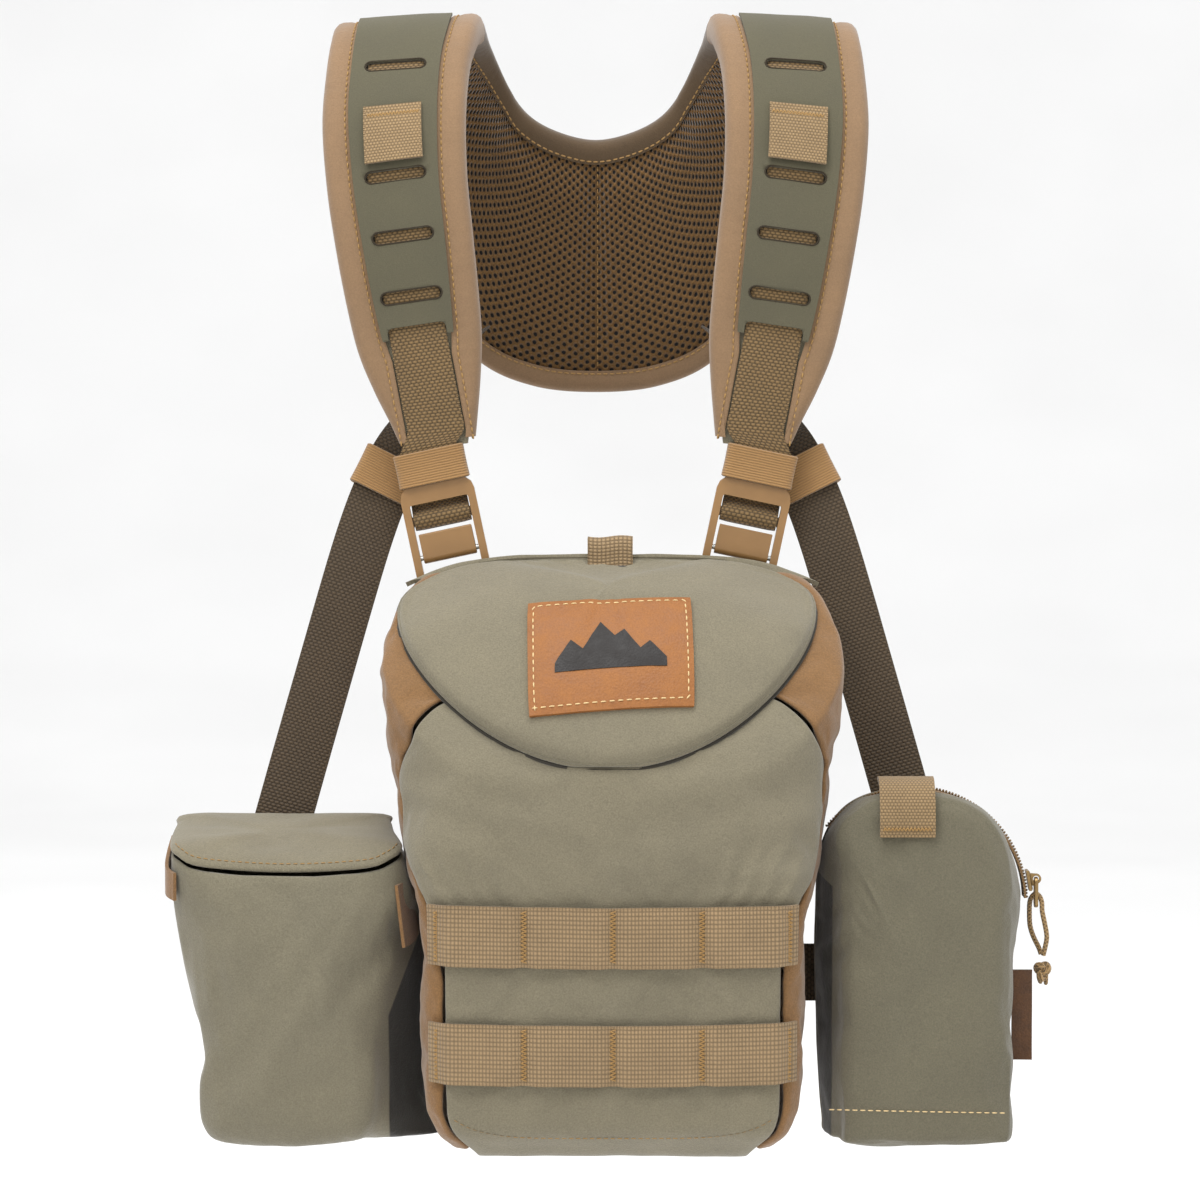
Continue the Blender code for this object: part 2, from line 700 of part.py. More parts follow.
def build_front_panel(finish):
    """Front and bottom in one piece: the wall's sheet, carried under the pack to the back panel."""
    sheet = []

    def left_edge(z):
        return side_seam(z) + SEAM_GAP

    def right_edge(z):
        return 1 - left_edge(z)

    for column in wall_sheet(left_edge, right_edge, 17, 10, PACK_BASE_Z + 3):
        start = column[0]
        under = []
        for share in (1.0, 0.6, 0.2):
            depth = -5 + (start.y + 10) * share
            width = PACK_X + (start.x - PACK_X) * (0.97 if share == 1.0 else 1.0)
            under.append(Vector((width, depth, PACK_BASE_Z)))
        sheet.append(under[::-1] + column)
    return add_object("pack_front_panel", slab_solid(sheet, -PACK_WALL, 0), finish)


def build_side_panels(finish):
    ends = (
        ("left", lambda z: 0, lambda z: side_seam(z) - SEAM_GAP),
        ("right", lambda z: 1 - side_seam(z) + SEAM_GAP, lambda z: 1),
    )
    for word, first_of, last_of in ends:
        sheet = wall_sheet(first_of, last_of, 7, 11, PACK_BASE_Z + 10)
        add_object(f"pack_side_panel_{word}", slab_solid(sheet, -PACK_WALL, 0), finish)


def back_outline(inset):
    """The back panel's outline, seen from behind: narrow at the base, wide at the shoulders, a low arch on top."""
    heights = (PACK_BASE_Z + 1, 4, 40, 90, 130, 165, 200, 222, 238)
    right = [(pack_half_width(z) - 5 - inset, z) for z in heights]
    right[0] = (right[0][0], right[0][1] + inset)
    arch = [(84 * share - inset * share, BACK_TOP_Z - 3 - 8 * share**4 - inset) for share in (0.8, 0.4, 0)]
    half = right + arch
    return half + [(-x, z) for x, z in half[-2::-1]]


def build_back_panel(finish):
    plate = [[Vector((PACK_X + x, y, z)) for x, z in back_outline(0)] for y in (-3.4, 0)]
    panel = add_object("pack_back_panel", rings_solid(plate), finish)
    low_pad = [(x, z) for x, z in back_outline(12) if z < 170]
    pad = [[Vector((PACK_X + x, y, z)) for x, z in low_pad] for y in (-1.5, BACK_PAD_RISE)]
    piece = add_object("back_pad_joined", rings_solid(pad), finish)
    piece.hide_render = True
    piece.display_type = "WIRE"
    union = panel.modifiers.new("raised pad", "BOOLEAN")
    union.operation = "UNION"
    union.object = piece


def build_floor_pad(finish):
    wide = 52.0
    made = box_solid((PACK_X - wide, -60, PACK_BASE_Z + PACK_WALL + 1.6), (PACK_X + wide, -12, 4.0), 1.5)
    add_object("pack_floor_pad", made, finish)


def lid_point(turn, share):
    """A point of the lid's lower face: share 0 in the middle, 1 at the edge over the walls."""
    edge = rim_point(lambda z: turn)
    middle = Vector((PACK_X, -46, 0))
    spot = middle.lerp(Vector((edge.x, edge.y, 0)), share)
    spot.z = rim_height(spot) + LID_LIFT
    return spot


def build_lid(finish):
    """A crowned disc over the opening; its front edge carries the hinge line."""
    turns = spread(0, 1, LID_TURNS)
    shares = (1.0, 0.93, 0.75, 0.5, 0.25)
    slant = Vector((0, -0.66, 0.75))
    made = bmesh.new()
    faces = {}
    for level in ("low", "high"):
        loops = []
        for share in shares:
            loop = []
            for turn in turns:
                spot = lid_point(turn, share * 0.985)
                crown = LID_CROWN * (1 - share**2.2)
                lift = crown if level == "low" else crown + LID_T * (0.45 if share == 1.0 else 1.0)
                spot = spot + slant * lift
                spot.y = max(spot.y, HINGE_Y + GAP)
                loop.append(made.verts.new(spot))
            loops.append(loop)
        centre = lid_point(0.5, 0) + slant * (LID_CROWN if level == "low" else LID_CROWN + LID_T)
        faces[level] = (loops, made.verts.new(centre))
    for level in ("low", "high"):
        loops, centre = faces[level]
        for near, far in zip(loops, loops[1:]):
            for step in range(LID_TURNS):
                following = (step + 1) % LID_TURNS
                made.faces.new((near[step], near[following], far[following], far[step]))
        for step in range(LID_TURNS):
            made.faces.new((loops[-1][step], loops[-1][(step + 1) % LID_TURNS], centre))
    low_rim = faces["low"][0][0]
    high_rim = faces["high"][0][0]
    for step in range(LID_TURNS):
        following = (step + 1) % LID_TURNS
        made.faces.new((low_rim[step], low_rim[following], high_rim[following], high_rim[step]))
    lid = add_object("pack_lid", made, finish)
    put_origin(lid, (PACK_X, HINGE_Y, HINGE_Z))


def lid_surface(x, y):
    """A point on the lid's outer face, over a plan position."""
    reach = min(Vector(((x - PACK_X) / 94, (y + 46) / 46)).length, 1)
    spot = Vector((x, y, 0))
    spot.z = rim_height(spot) + LID_LIFT
    return spot + Vector((0, -0.66, 0.75)) * (LID_CROWN * (1 - reach**2.2) + LID_T)


def build_patch(finish):
    """A leather rectangle on the lid's slope."""
    tilt = math.radians(3.0)
    sheet = []
    for share in spread(-0.5, 0.5, 7):
        line = []
        for part in spread(-0.5, 0.5, 5):
            x = PACK_X - 1 + share * PATCH_W * math.cos(tilt)
            y = -45 - part * PATCH_H * 0.68 + share * 3.0
            line.append(lid_surface(x, y))
        sheet.append(line)
    patch = add_object("leather_patch", slab_solid(sheet, -2.6, -1.0), finish)
    put_origin(patch, (PACK_X, HINGE_Y, HINGE_Z))


def build_pull_tab(finish):
    """A folded webbing tab that stands up from the lid's rear edge."""
    made = box_solid((PACK_X - 11, -9.0, 250.5), (PACK_X + 9, -5.8, 257.0), 0.6)
    tab = add_object("lid_pull_tab", made, finish)
    put_origin(tab, (PACK_X, HINGE_Y, HINGE_Z))


def webbing_row(name, height, finish):
    """A row of webbing over the front panel, bar tacked every channel: flat between tacks and held in at each."""
    tacks = [(step - 2) * CHANNEL_W for step in range(5)]
    stops = []
    for near, far in zip([-ROW_HALF] + tacks, tacks + [ROW_HALF]):
        stops.append((near + 0.8, 0))
        if far - near > CHANNEL_W / 2:
            stops += [(x, ROW_BULGE) for x in spread(near + 2.6, far - 2.6, 5)]
        stops.append((far - 0.8, 0))
    sheet = []
    for x, rise in stops:
        line = []
        for z in (height - WEB_W / 2, height, height + WEB_W / 2):
            corner = pack_corner(z)
            flat = pack_half_width(z) - corner
            angle = max(abs(x) - flat, 0) / corner
            drop = corner * (1 - math.cos(angle))
            out = min(abs(x), flat) + corner * math.sin(angle)
            y = -pack_front(z) + drop - 2 * GAP - rise
            line.append(Vector((PACK_X + math.copysign(out, x), y, z)))
        sheet.append(line)
    return add_object(name, slab_solid(sheet, 0, WEB_T), finish)


def build_closure(finish):
    """A thin strip under the lid's rear edge that holds it down on the back panel's top."""
    made = box_solid((PACK_X - 30, -5.4, 219.0), (PACK_X + 30, -3.9, 239.0), 0.5)
    add_object("lid_closure_strip", made, finish)


# ---- Pouches ----

def open_box(rings, wall):
    """A bag: outer rings from its mouth to its closed end, with an inner skin one wall inside."""
    count = len(rings)
    inner = []
    for index, ring in enumerate(rings):
        centre = sum(ring, Vector()) / len(ring)
        pulled = []
        for point in ring:
            away = point - centre
            pulled.append(point - away.normalized() * wall * 1.25)
        inner.append(pulled)
    end = (sum(rings[-1], Vector()) - sum(rings[-2], Vector())).normalized()
    inner[-1] = [point - end * wall for point in inner[-1]]
    made = bmesh.new()
    outer_loops = [[made.verts.new(point) for point in ring] for ring in rings]
    inner_loops = [[made.verts.new(point) for point in ring] for ring in inner[:count]]
    order = outer_loops[::-1] + inner_loops
    for near, far in zip(order, order[1:]):
        for step in range(len(near)):
            following = (step + 1) % len(near)
            made.faces.new((near[step], near[following], far[following], far[step]))
    made.faces.new(outer_loops[-1])
    made.faces.new(reversed(inner_loops[-1]))
    return made


def left_pouch_ring(z, inset=0.0):
    """Plan outline of the left pouch at a height: wide at its top, its front drawn in at the base."""
    share = min(max(z / 118, 0), 1)
    left = -179 - 13 * share**2 + inset
    right_back = PACK_X - pack_half_width(z) - 3.5 - inset * 0.4
    right_front = min(-101 + 14 * share**2, right_back - 2) - inset
    front = -66 - 4 * share + inset
    back = -13.0 - inset * 0.3
    corner = 14.0
    marks = (
        (left + 4, back), (left, back - 10), (left, front + corner), (left + 4, front + 4), (left + corner, front),
        ((left + right_front) / 2, front - 2), (right_front - corner, front), (right_front - 3, front + 3.5),
        (right_front + 2, front + 12), (right_back, back - 20), (right_back, back - 6), (right_back - 3, back),
        ((left + right_back) / 2, back),
    )
    return [Vector((x, y, z)) for x, y in marks]


def pouch_slope(point):
    """Height of the left pouch's mouth: lower at the front seam than at the back."""
    return 116 + 16 * min(max((point.y + 70) / 57, 0), 1)


def left_pouch_mouth(lift):
    """The pouch's top edge; its side by the pack leans away towards the back, so that the lid swings clear of it."""
    rim = []
    for point in left_pouch_ring(LEFT_MOUTH_Z):
        lean = LEFT_MOUTH_LEAN * ease(-66, -13, point.y) if point.x > LEFT_POUCH_INNER_X else 0
        rim.append(Vector((point.x - lean, point.y, pouch_slope(point) + lift)))
    return rim


def build_left_pouch(finishes):
    mouth = left_pouch_mouth(0)
    rings = [mouth]
    for z, inset in ((96, 0), (60, 0), (28, 0), (6, 0), (-1, 2), (-4, 7)):
        rings.append(left_pouch_ring(z, inset))
    add_object("left_pouch_body", open_box(rings, 2.2), finishes["olive"])
    rim = [Vector((p.x, max(p.y, -69.6), p.z)) for p in left_pouch_mouth(1.0)]
    middle = sum(rim, Vector()) / len(rim)
    rings = [[p.lerp(middle, 0.02) for p in rim], [p + Vector((0, 0, 2.4)) for p in rim]]
    rings.append([p.lerp(middle, 0.3) + Vector((0, 0, 4.2)) for p in rim])
    lid = add_object("left_pouch_lid", rings_solid(rings), finishes["olive"])
    put_origin(lid, (middle.x, -71.0, 116.5))
    trim = [Vector((-198.4 + 1.2, -62, 121)), Vector((-197.6, -48, 124)), Vector((-197.4, -30, 128.5))]
    sheet = [[p + Vector((0, 0, -7)), p, p + Vector((0, 0, 1.5))] for p in trim]
    add_object("left_pouch_trim", slab_solid(sheet, 0, 1.2), finishes["coyote"])
    mount_strap("left_pouch_mount_strap", -1, -160.0, finishes["webbing"])


def mount_strap(name, side, far, finish):
    """Webbing behind a pouch that carries it on the pack's side."""
    near = PACK_X + side * 84.0
    made = box_solid((min(near, far), -11.6, 52), (max(near, far), -10.0, 52 + WEB_W), 0.3)
    return add_object(name, made, finish)


def right_pouch_outline(depth, round_share, inset):
    """Front outline of the right pouch: a flat-sided arch; round_share 1 makes its top the zip's half circle."""
    points = []
    half = 43.0 - inset
    for angle in spread(0, math.pi, 13):
        square = 2 / 2.7
        arch_x = half * math.copysign(abs(math.cos(angle)) ** square, math.cos(angle))
        arch_z = (49 - inset) * math.sin(angle) ** square
        round_x = (ZIP_R - 1.2) * math.cos(angle)
        round_z = (ZIP_R - 1.2) * math.sin(angle)
        share = round_share if angle < math.pi / 2 else 0
        x = arch_x + (round_x - arch_x) * share
        z = arch_z + (round_z - arch_z) * share
        points.append((ZIP_X + x, ZIP_Z + z))
    left = ZIP_X - half
    right = ZIP_X + half
    base = -4 + inset * 0.6
    points += [(left, 60), (left + 3, base + 9), (left + 10, base)]
    points += [(right - 10, base), (right - 1, base + 8), (right, 60)]
    return [Vector((x, depth, z)) for x, z in points]


def closed_below_zip(ring, meet):
    """The mouth of one half of the right pouch: open under the zip, and up against the other half below it."""
    return [
        Vector((point.x, meet, point.z)) if index >= ZIP_OPEN_POINTS else point
        for index, point in enumerate(ring)
    ]


def build_right_pouch(finishes):
    front = [closed_below_zip(right_pouch_outline(-39, 1.0, 0), ZIP_Y - GAP)]
    for depth, round_share, inset in ((-47, 0.5, 0), (-56, 0, 0), (-63, 0, 2.5), (-66, 0, 9)):
        front.append(right_pouch_outline(depth, round_share, inset))
    add_object("right_pouch_front", open_box(front, 2.2), finishes["olive"])
    back = [closed_below_zip(right_pouch_outline(-29, 1.0, 0), ZIP_Y + GAP)]
    back += [right_pouch_outline(-20, 0.5, 1), right_pouch_outline(-13, 0, 6)]
    add_object("right_pouch_back", open_box(back, 2.2), finishes["olive"])
    build_zip(finishes)
    tag = box_solid((177.6, -44, 30.5), (184.4, -42.4, 70), 0.3)
    add_object("right_pouch_tag", tag, finishes["leather"])
    sheet = []
    for back_y, up in ((-67.0, 132), (-66.8, 138), (-65.4, 144), (-60.5, 150.2), (-54.5, 152.4)):
        sheet.append([Vector((x, back_y, up)) for x in (138.6, 128, 117.5)])
    add_object("right_pouch_tab", slab_solid(sheet, 0.4, 2.6), finishes["webbing_light"])
    mount_strap("right_pouch_mount_strap", 1, 160.0, finishes["webbing"])


def zip_point(angle, radius, depth):
    return Vector((ZIP_X + radius * math.cos(angle), depth, ZIP_Z + radius * math.sin(angle)))


def build_zip(finishes):
    rings = []
    half = ZIP_W / 2
    outer = ZIP_R + ZIP_T
    teeth = outer + TEETH_RISE
    corners = ((ZIP_R, -half), (outer, -half), (teeth, -TEETH_HALF), (teeth, TEETH_HALF), (outer, half), (ZIP_R, half))
    for angle in spread(ZIP_FIRST, ZIP_LAST, 19):
        rings.append([zip_point(angle, radius, ZIP_Y + offset) for radius, offset in corners])
    add_object("right_pouch_zip", rings_solid(rings), finishes["zip"])
    radial = zip_point(SLIDER_ANGLE, 1, 0) - zip_point(SLIDER_ANGLE, 0, 0)
    along = Vector((-radial.z, 0, radial.x))
    depth = Vector((0, 1, 0))
    base = zip_point(SLIDER_ANGLE, ZIP_R + ZIP_T + TEETH_RISE + GAP, ZIP_Y)
    rings = []
    for rise, half_y, half_a in ((0, 4.0, 4.5), (1.2, 4.0, 4.5), (1.7, 3.2, 3.7)):
        corners = ((-1, -1), (1, -1), (1, 1), (-1, 1))
        rings.append([base + radial * rise + depth * half_y * a + along * half_a * b for a, b in corners])
    slider = add_object("zip_slider", rings_solid(rings), finishes["steel_dark"])
    pivot = puller_pivot()
    add_bail(slider, pivot, radial, along)
    put_origin(slider, (ZIP_X, ZIP_Y, ZIP_Z))
    puller = loop_round(
        "zip_puller", pivot - Vector((0, 0, (PULLER_OPENING[1] + PULLER_WALL) / 2)),
        (Vector((0, 1, 0)), Vector((0, 0, 1)), Vector((1, 0, 0))), PULLER_OPENING, PULLER_WALL, finishes["steel_dark"], 1.2,
    )
    put_origin(puller, pivot)
    build_cord(pivot, finishes)


def add_bail(slider, pivot, radial, along):
    """Joins an eye to the slider's top, which holds the puller's bar with running clearance."""
    profile = [(-SLIDER_BAIL_R - 0.8, -3.0)]
    for angle in spread(math.pi, 0, 9):
        profile.append((SLIDER_BAIL_R * math.cos(angle), SLIDER_BAIL_R * math.sin(angle)))
    profile.append((SLIDER_BAIL_R + 0.8, -3.0))
    depth = Vector((0, 1, 0))
    sides = [[pivot + along * a + radial * r + depth * y for a, r in profile] for y in (-0.9, 0.9)]
    bail = add_object("bail_joined", rings_solid(sides), None)
    bail.hide_render = True
    bail.display_type = "WIRE"
    union = slider.modifiers.new("bail", "BOOLEAN")
    union.operation = "UNION"
    union.object = bail
    eye = rod_solid(pivot - depth * 3, pivot + depth * 3, SLIDER_EYE_R)
    cut(slider, add_object("slider_eye_cutter", eye, None))


def puller_pivot():
    return zip_point(SLIDER_ANGLE, ZIP_R + ZIP_T + TEETH_RISE + GAP + SLIDER_RISE, ZIP_Y)


# The pull cord's route, from the knot up through the puller's eye and down again, from the eye's middle
CORD_ROUTE = (
    (3.2, -1.9, -26.4), (3.9, -2.6, -23.0), (4.6, -3.4, -18.0), (3.6, -3.4, -12.0), (2.6, -2.6, -7.0),
    (2.5, -1.4, -3.2), (1.7, -0.4, -0.8), (0.0, 0.0, 0.6), (-1.7, 0.4, -0.8), (-2.5, 1.4, -3.2),
    (-2.6, 2.4, -8.0), (-2.2, 3.2, -14.0), (-0.6, 3.4, -19.0), (1.6, 2.6, -23.5), (2.6, 1.9, -26.4),
)


def build_cord(pivot, finishes):
    eye = pivot + Vector((0, 0, -EYE_DROP + 0.8))
    curve = bpy.data.curves.new("pull_cord", "CURVE")
    curve.dimensions = "3D"
    curve.bevel_depth = CORD_R * MM
    curve.bevel_resolution = 2
    curve.use_fill_caps = True
    spline = curve.splines.new("POLY")
    positions = spread(0, len(CORD_ROUTE) - 1, 29)
    spline.points.add(len(positions) - 1)
    for point, position in zip(spline.points, positions):
        place = world(eye + catmull(CORD_ROUTE, position))
        point.co = (*place, 1)
    curve.materials.append(finishes["cord"])
    bpy.context.scene.collection.objects.link(bpy.data.objects.new("pull_cord", curve))
    knot = bmesh.new()
    bmesh.ops.create_icosphere(knot, subdivisions=2, radius=1)
    centre = eye + Vector((3.0, 0, -33.4))
    for vertex in knot.verts:
        lump = 1 + 0.12 * math.sin(5 * vertex.co.z + 3 * vertex.co.x)
        vertex.co = centre + Vector((vertex.co.x * 3.8, vertex.co.y * 4.2, vertex.co.z * 5.6)) * lump
    add_object("cord_knot", knot, finishes["cord"])


def make_finishes():
    return {
        "olive": material("olive_fabric", (140, 133, 109), 0.85),
        "foam": material("grey_foam", (70, 68, 62), 0.9),
        "mesh": material("spacer_mesh", (110, 80, 40), 0.8),
        "laminate": material("grey_green_laminate", (120, 114, 92), 0.55),
        "binding": material("coyote_binding", (163, 132, 98), 0.75),
        "coyote": material("coyote_fabric", (170, 132, 90), 0.8),
        "webbing": material("dark_coyote_webbing", (112, 90, 58), 0.7),
        "webbing_light": material("coyote_webbing", (160, 134, 98), 0.7),
        "elastic": material("coyote_elastic", (160, 124, 80), 0.85),
        "plastic": material("coyote_plastic", (165, 125, 75), 0.35),
        "steel": material("bright_steel", (190, 190, 185), 0.25, 1.0),
        "steel_dark": material("zip_metal", (120, 100, 70), 0.35, 1.0),
        "leather": material("tan_leather", (170, 123, 72), 0.6),
        "zip": material("zip_tape", (150, 118, 78), 0.8),
        "cord": material("braided_cord", (165, 135, 92), 0.8),
        "hook": material("hook_strip", (95, 90, 72), 0.9),
    }


def main():
    clear_scene()
    finishes = make_finishes()
    build_yoke(finishes)
    for side, word in ((-1, "left"), (1, "right")):
        build_shoulder(side, word, finishes)
        build_keepers(side, word, finishes)
        side_strap(f"side_strap_{word}", side, finishes["webbing"])
        build_buckle(side, word, finishes)
        build_anchor(side, word, finishes["webbing"])
    build_front_panel(finishes["olive"])
    build_side_panels(finishes["coyote"])
    build_back_panel(finishes["olive"])
    build_floor_pad(finishes["foam"])
    build_lid(finishes["olive"])
    build_patch(finishes["leather"])
    build_pull_tab(finishes["webbing_light"])
    webbing_row("webbing_row_upper", ROW_UPPER_Z, finishes["webbing_light"])
    webbing_row("webbing_row_lower", ROW_UPPER_Z - ROW_PITCH, finishes["webbing_light"])
    build_closure(finishes["hook"])
    build_left_pouch(finishes)
    build_right_pouch(finishes)


main()
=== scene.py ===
"""Looks for the binocular harness pack: cloth, webbing, mesh, cord, leather and buckles round the CAD frame.

Lengths are in millimetres in the pack's design frame: +X right, +Y from the pack's front to the wearer's
back, +Z up. world() turns them into metres with the frame's origin, at the top of the shoulder straps.
"""

import math

import bmesh
import bpy
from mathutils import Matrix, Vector, noise
from mathutils.bvhtree import BVHTree

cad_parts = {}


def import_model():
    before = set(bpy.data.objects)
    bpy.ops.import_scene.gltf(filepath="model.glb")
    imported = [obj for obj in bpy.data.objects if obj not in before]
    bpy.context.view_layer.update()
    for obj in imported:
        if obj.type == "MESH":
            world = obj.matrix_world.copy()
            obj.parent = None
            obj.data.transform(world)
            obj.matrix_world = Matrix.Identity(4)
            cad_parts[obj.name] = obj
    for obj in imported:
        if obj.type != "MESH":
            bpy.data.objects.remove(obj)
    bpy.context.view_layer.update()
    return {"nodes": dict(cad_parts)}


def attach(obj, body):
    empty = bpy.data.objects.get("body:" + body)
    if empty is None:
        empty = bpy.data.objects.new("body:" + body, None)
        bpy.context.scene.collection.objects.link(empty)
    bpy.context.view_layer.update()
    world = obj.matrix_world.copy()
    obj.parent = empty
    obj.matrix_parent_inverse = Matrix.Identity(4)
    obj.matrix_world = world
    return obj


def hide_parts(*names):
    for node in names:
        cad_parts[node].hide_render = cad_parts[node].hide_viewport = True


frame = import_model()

MM = 0.001
HANG_Z = 478.0
HARNESS_X = -7.0
PACK_X = 0.5
WEB_W = 25.4
WEB_T = 1.6
GAP = 0.4

# ---- The harness band: stations from the middle of the back to the front end of a strap ----
NECK_EDGE = (
    (0, 133, 439), (17, 132, 442.5), (31, 130, 450), (41, 127, 462), (48, 118, 475), (51, 104, 484),
    (52, 88, 488.5), (53, 70, 489), (55, 50, 483), (58, 34, 469), (59.3, 20, 447), (58.6, 12, 420),
    (56, 8.5, 394), (53.5, 7.5, 368), (52, 7, 348), (52.5, 7, 330), (53.8, 7, 313), (55, 7, 300),
)
OUTER_EDGE = (
    (0, 150, 323), (30, 148, 326), (56, 144, 338), (80, 137, 366), (99, 127, 408), (111, 114, 448),
    (116, 96, 474), (117.5, 74, 484), (118.5, 52, 480), (120, 36, 465), (121, 21, 441), (118.5, 13, 412),
    (114.5, 9, 386), (109.5, 8, 360), (104.5, 7, 340), (97.5, 7, 323), (90.5, 7, 309), (85, 7, 297),
)
MESH_LOW = -6.0
MESH_HIGH = -3.6
COVER_HIGH = 4.4
FACING_HIGH = 8.2
BINDING_LIP = 12.0
STRAP_START = 6.5
STRAP_END = 17.0
FACING_START = 7.4
FACING_END = 13.85
SLOT_STATIONS = (9.15, 10.95, 11.95, 12.95)
SLOT_RADIUS = 2.5
SLOT_HALF = 13.3
TAB_STATION = 9.95
TAB_H = 20.0

# ---- Buckles ----
BUCKLE_X = 65.0
BUCKLE_Y = 6.0
BUCKLE_Z = 251.0
BUCKLE_TILT = math.radians(12.0)
BAR_Z = 16.5
FOOT_Z = -12.2
WRAP_R = 3.6
WRAP_BACK = -0.4

# ---- Pack ----
PACK_BASE_Z = -8.0
PACK_DEPTH = 92.0
SEAM_Z = 160.0
LID_LIFT = 1.8
LID_T = 5.0
LID_CROWN = 9.0
HINGE_Y = -95.2
PACK_WIDTHS = (
    (-8, 58), (-5, 68), (2, 75), (14, 79.5), (40, 80.5), (70, 80.5), (100, 82), (120, 88), (142, 92),
    (160, 94.5), (180, 98), (200, 100), (217, 99), (232, 94), (250, 84),
)
SIDE_SEAMS = (
    (-8, 0.272), (85, 0.272), (105, 0.24), (125, 0.18), (158, 0.175), (175, 0.22), (190, 0.26), (250, 0.26),
)
SEAM_GAP = 0.0022  # half the gap between two panels, as a share of the outline's turn
BACK_TOP = 246.0
BACK_ROUNDING = 8.0
BACK_TOP_HALF = 84.0
CHANNEL_W = 38.1
ROW_PITCH = 50.8
ROW_UPPER_Z = 91.0
ROW_HALF = 80.0
SIDE_ROUTE = (
    (60, 131, 346), (64, 112, 342), (68, 84, 333), (73, 56, 321), (79, 32, 308), (88, 19, 294),
    (97, 15, 276), (106, 11, 250), (119, 6, 205), (133, -3, 155), (141, -8.8, 126), (149, -8.8, 100),
)

# ---- Right pouch ----
ZIP_X = 132.5
ZIP_Z = 99.5
ZIP_Y = -34.0
ZIP_R = 48.5
TOOTH_R = 50.0
TEETH = 84
ZIP_FIRST = math.radians(2.0)
ZIP_LAST = math.radians(139.0)
SLIDER_ANGLE = math.radians(10.0)


# ---- Geometry helpers ----

def world(point):
    return Vector((point[0], point[1], point[2] - HANG_Z)) * MM


def spread(low, high, count):
    return [low + (high - low) * step / (count - 1) for step in range(count)]


def ease(low, high, value):
    share = min(max((value - low) / (high - low), 0), 1)
    return share * share * (3 - 2 * share)


def catmull(stations, position):
    last = len(stations) - 1
    first = min(max(int(math.floor(position)), 0), last - 1)
    share = position - first
    before, start, end, after = [Vector(stations[min(max(first + step, 0), last)]) for step in (-1, 0, 1, 2)]
    bend = 2 * before - 5 * start + 4 * end - after
    twist = 3 * (start - end) + after - before
    return 0.5 * (2 * start + (end - before) * share + bend * share**2 + twist * share**3)


def even(points, pitch):
    """The same line, with a point about every pitch."""
    runs = [0.0]
    for near, far in zip(points, points[1:]):
        runs.append(runs[-1] + (far - near).length)
    count = max(int(round(runs[-1] / pitch)), 1) + 1
    made = []
    index = 0
    for run in spread(0, runs[-1], count):
        while index < len(runs) - 2 and runs[index + 1] < run:
            index += 1
        share = (run - runs[index]) / max(runs[index + 1] - runs[index], 1e-9)
        made.append(points[index].lerp(points[index + 1], share))
    return made


def rough(point, size, seed=0.0):
    """Smooth noise from -1 to 1 at a design point; size is the width of its lumps."""
    return noise.noise(Vector(point) / size + Vector((seed, seed * 1.7, -seed)))


def normals_of(grid):
    """Outward directions of a grid of points: along its rows crossed with across its columns."""
    rows = len(grid)
    columns = len(grid[0])
    made = []
    for i in range(rows):
        line = []
        for j in range(columns):
            along = grid[min(i + 1, rows - 1)][j] - grid[max(i - 1, 0)][j]
            across = grid[i][min(j + 1, columns - 1)] - grid[i][max(j - 1, 0)]
            line.append(along.cross(across).normalized())
        made.append(line)
    return made


def raised(grid, height_of):
    """The grid moved along its normals by a number, or by height_of(row, column)."""
    made = []
    for i, (line, outward) in enumerate(zip(grid, normals_of(grid))):
        heights = [height_of(i, j) if callable(height_of) else height_of for j in range(len(line))]
        made.append([p + n * h for p, n, h in zip(line, outward, heights)])
    return made


def lengths_of(grid):
    """Arc lengths of each point along its column and across its row, the latter from the row's middle."""
    rows = len(grid)
    columns = len(grid[0])
    middle = columns // 2
    along = [0.0]
    for i in range(1, rows):
        along.append(along[-1] + (grid[i][middle] - grid[i - 1][middle]).length)
    across = []
    for line in grid:
        runs = [0.0]
        for near, far in zip(line, line[1:]):
            runs.append(runs[-1] + (far - near).length)
        across.append([run - runs[-1] / 2 for run in runs])
    return along, across


def put_uv(mesh, places):
    """Gives a mesh texture coordinates in millimetres, one pair for each vertex."""
    layer = mesh.uv_layers.new(name="cloth_mm")
    for loop in mesh.loops:
        layer.data[loop.index].uv = places[loop.vertex_index]


def keep_object(name, mesh, finish):
    mesh.materials.append(finish)
    mesh.shade_smooth()
    made = bpy.data.objects.new(name, mesh)
    bpy.context.scene.collection.objects.link(made)
    return made


def sheet_object(name, grid, finish):
    """One layer of cloth over a grid, with no thickness yet."""
    columns = len(grid[0])
    points = [world(p) for line in grid for p in line]
    faces = []
    for i in range(len(grid) - 1):
        for j in range(columns - 1):
            at = i * columns + j
            faces.append((at, at + columns, at + columns + 1, at + 1))
    mesh = bpy.data.meshes.new(name)
    mesh.from_pydata(points, [], faces)
    along, across = lengths_of(grid)
    put_uv(mesh, [(across[i][j], along[i]) for i in range(len(grid)) for j in range(columns)])
    return keep_object(name, mesh, finish)


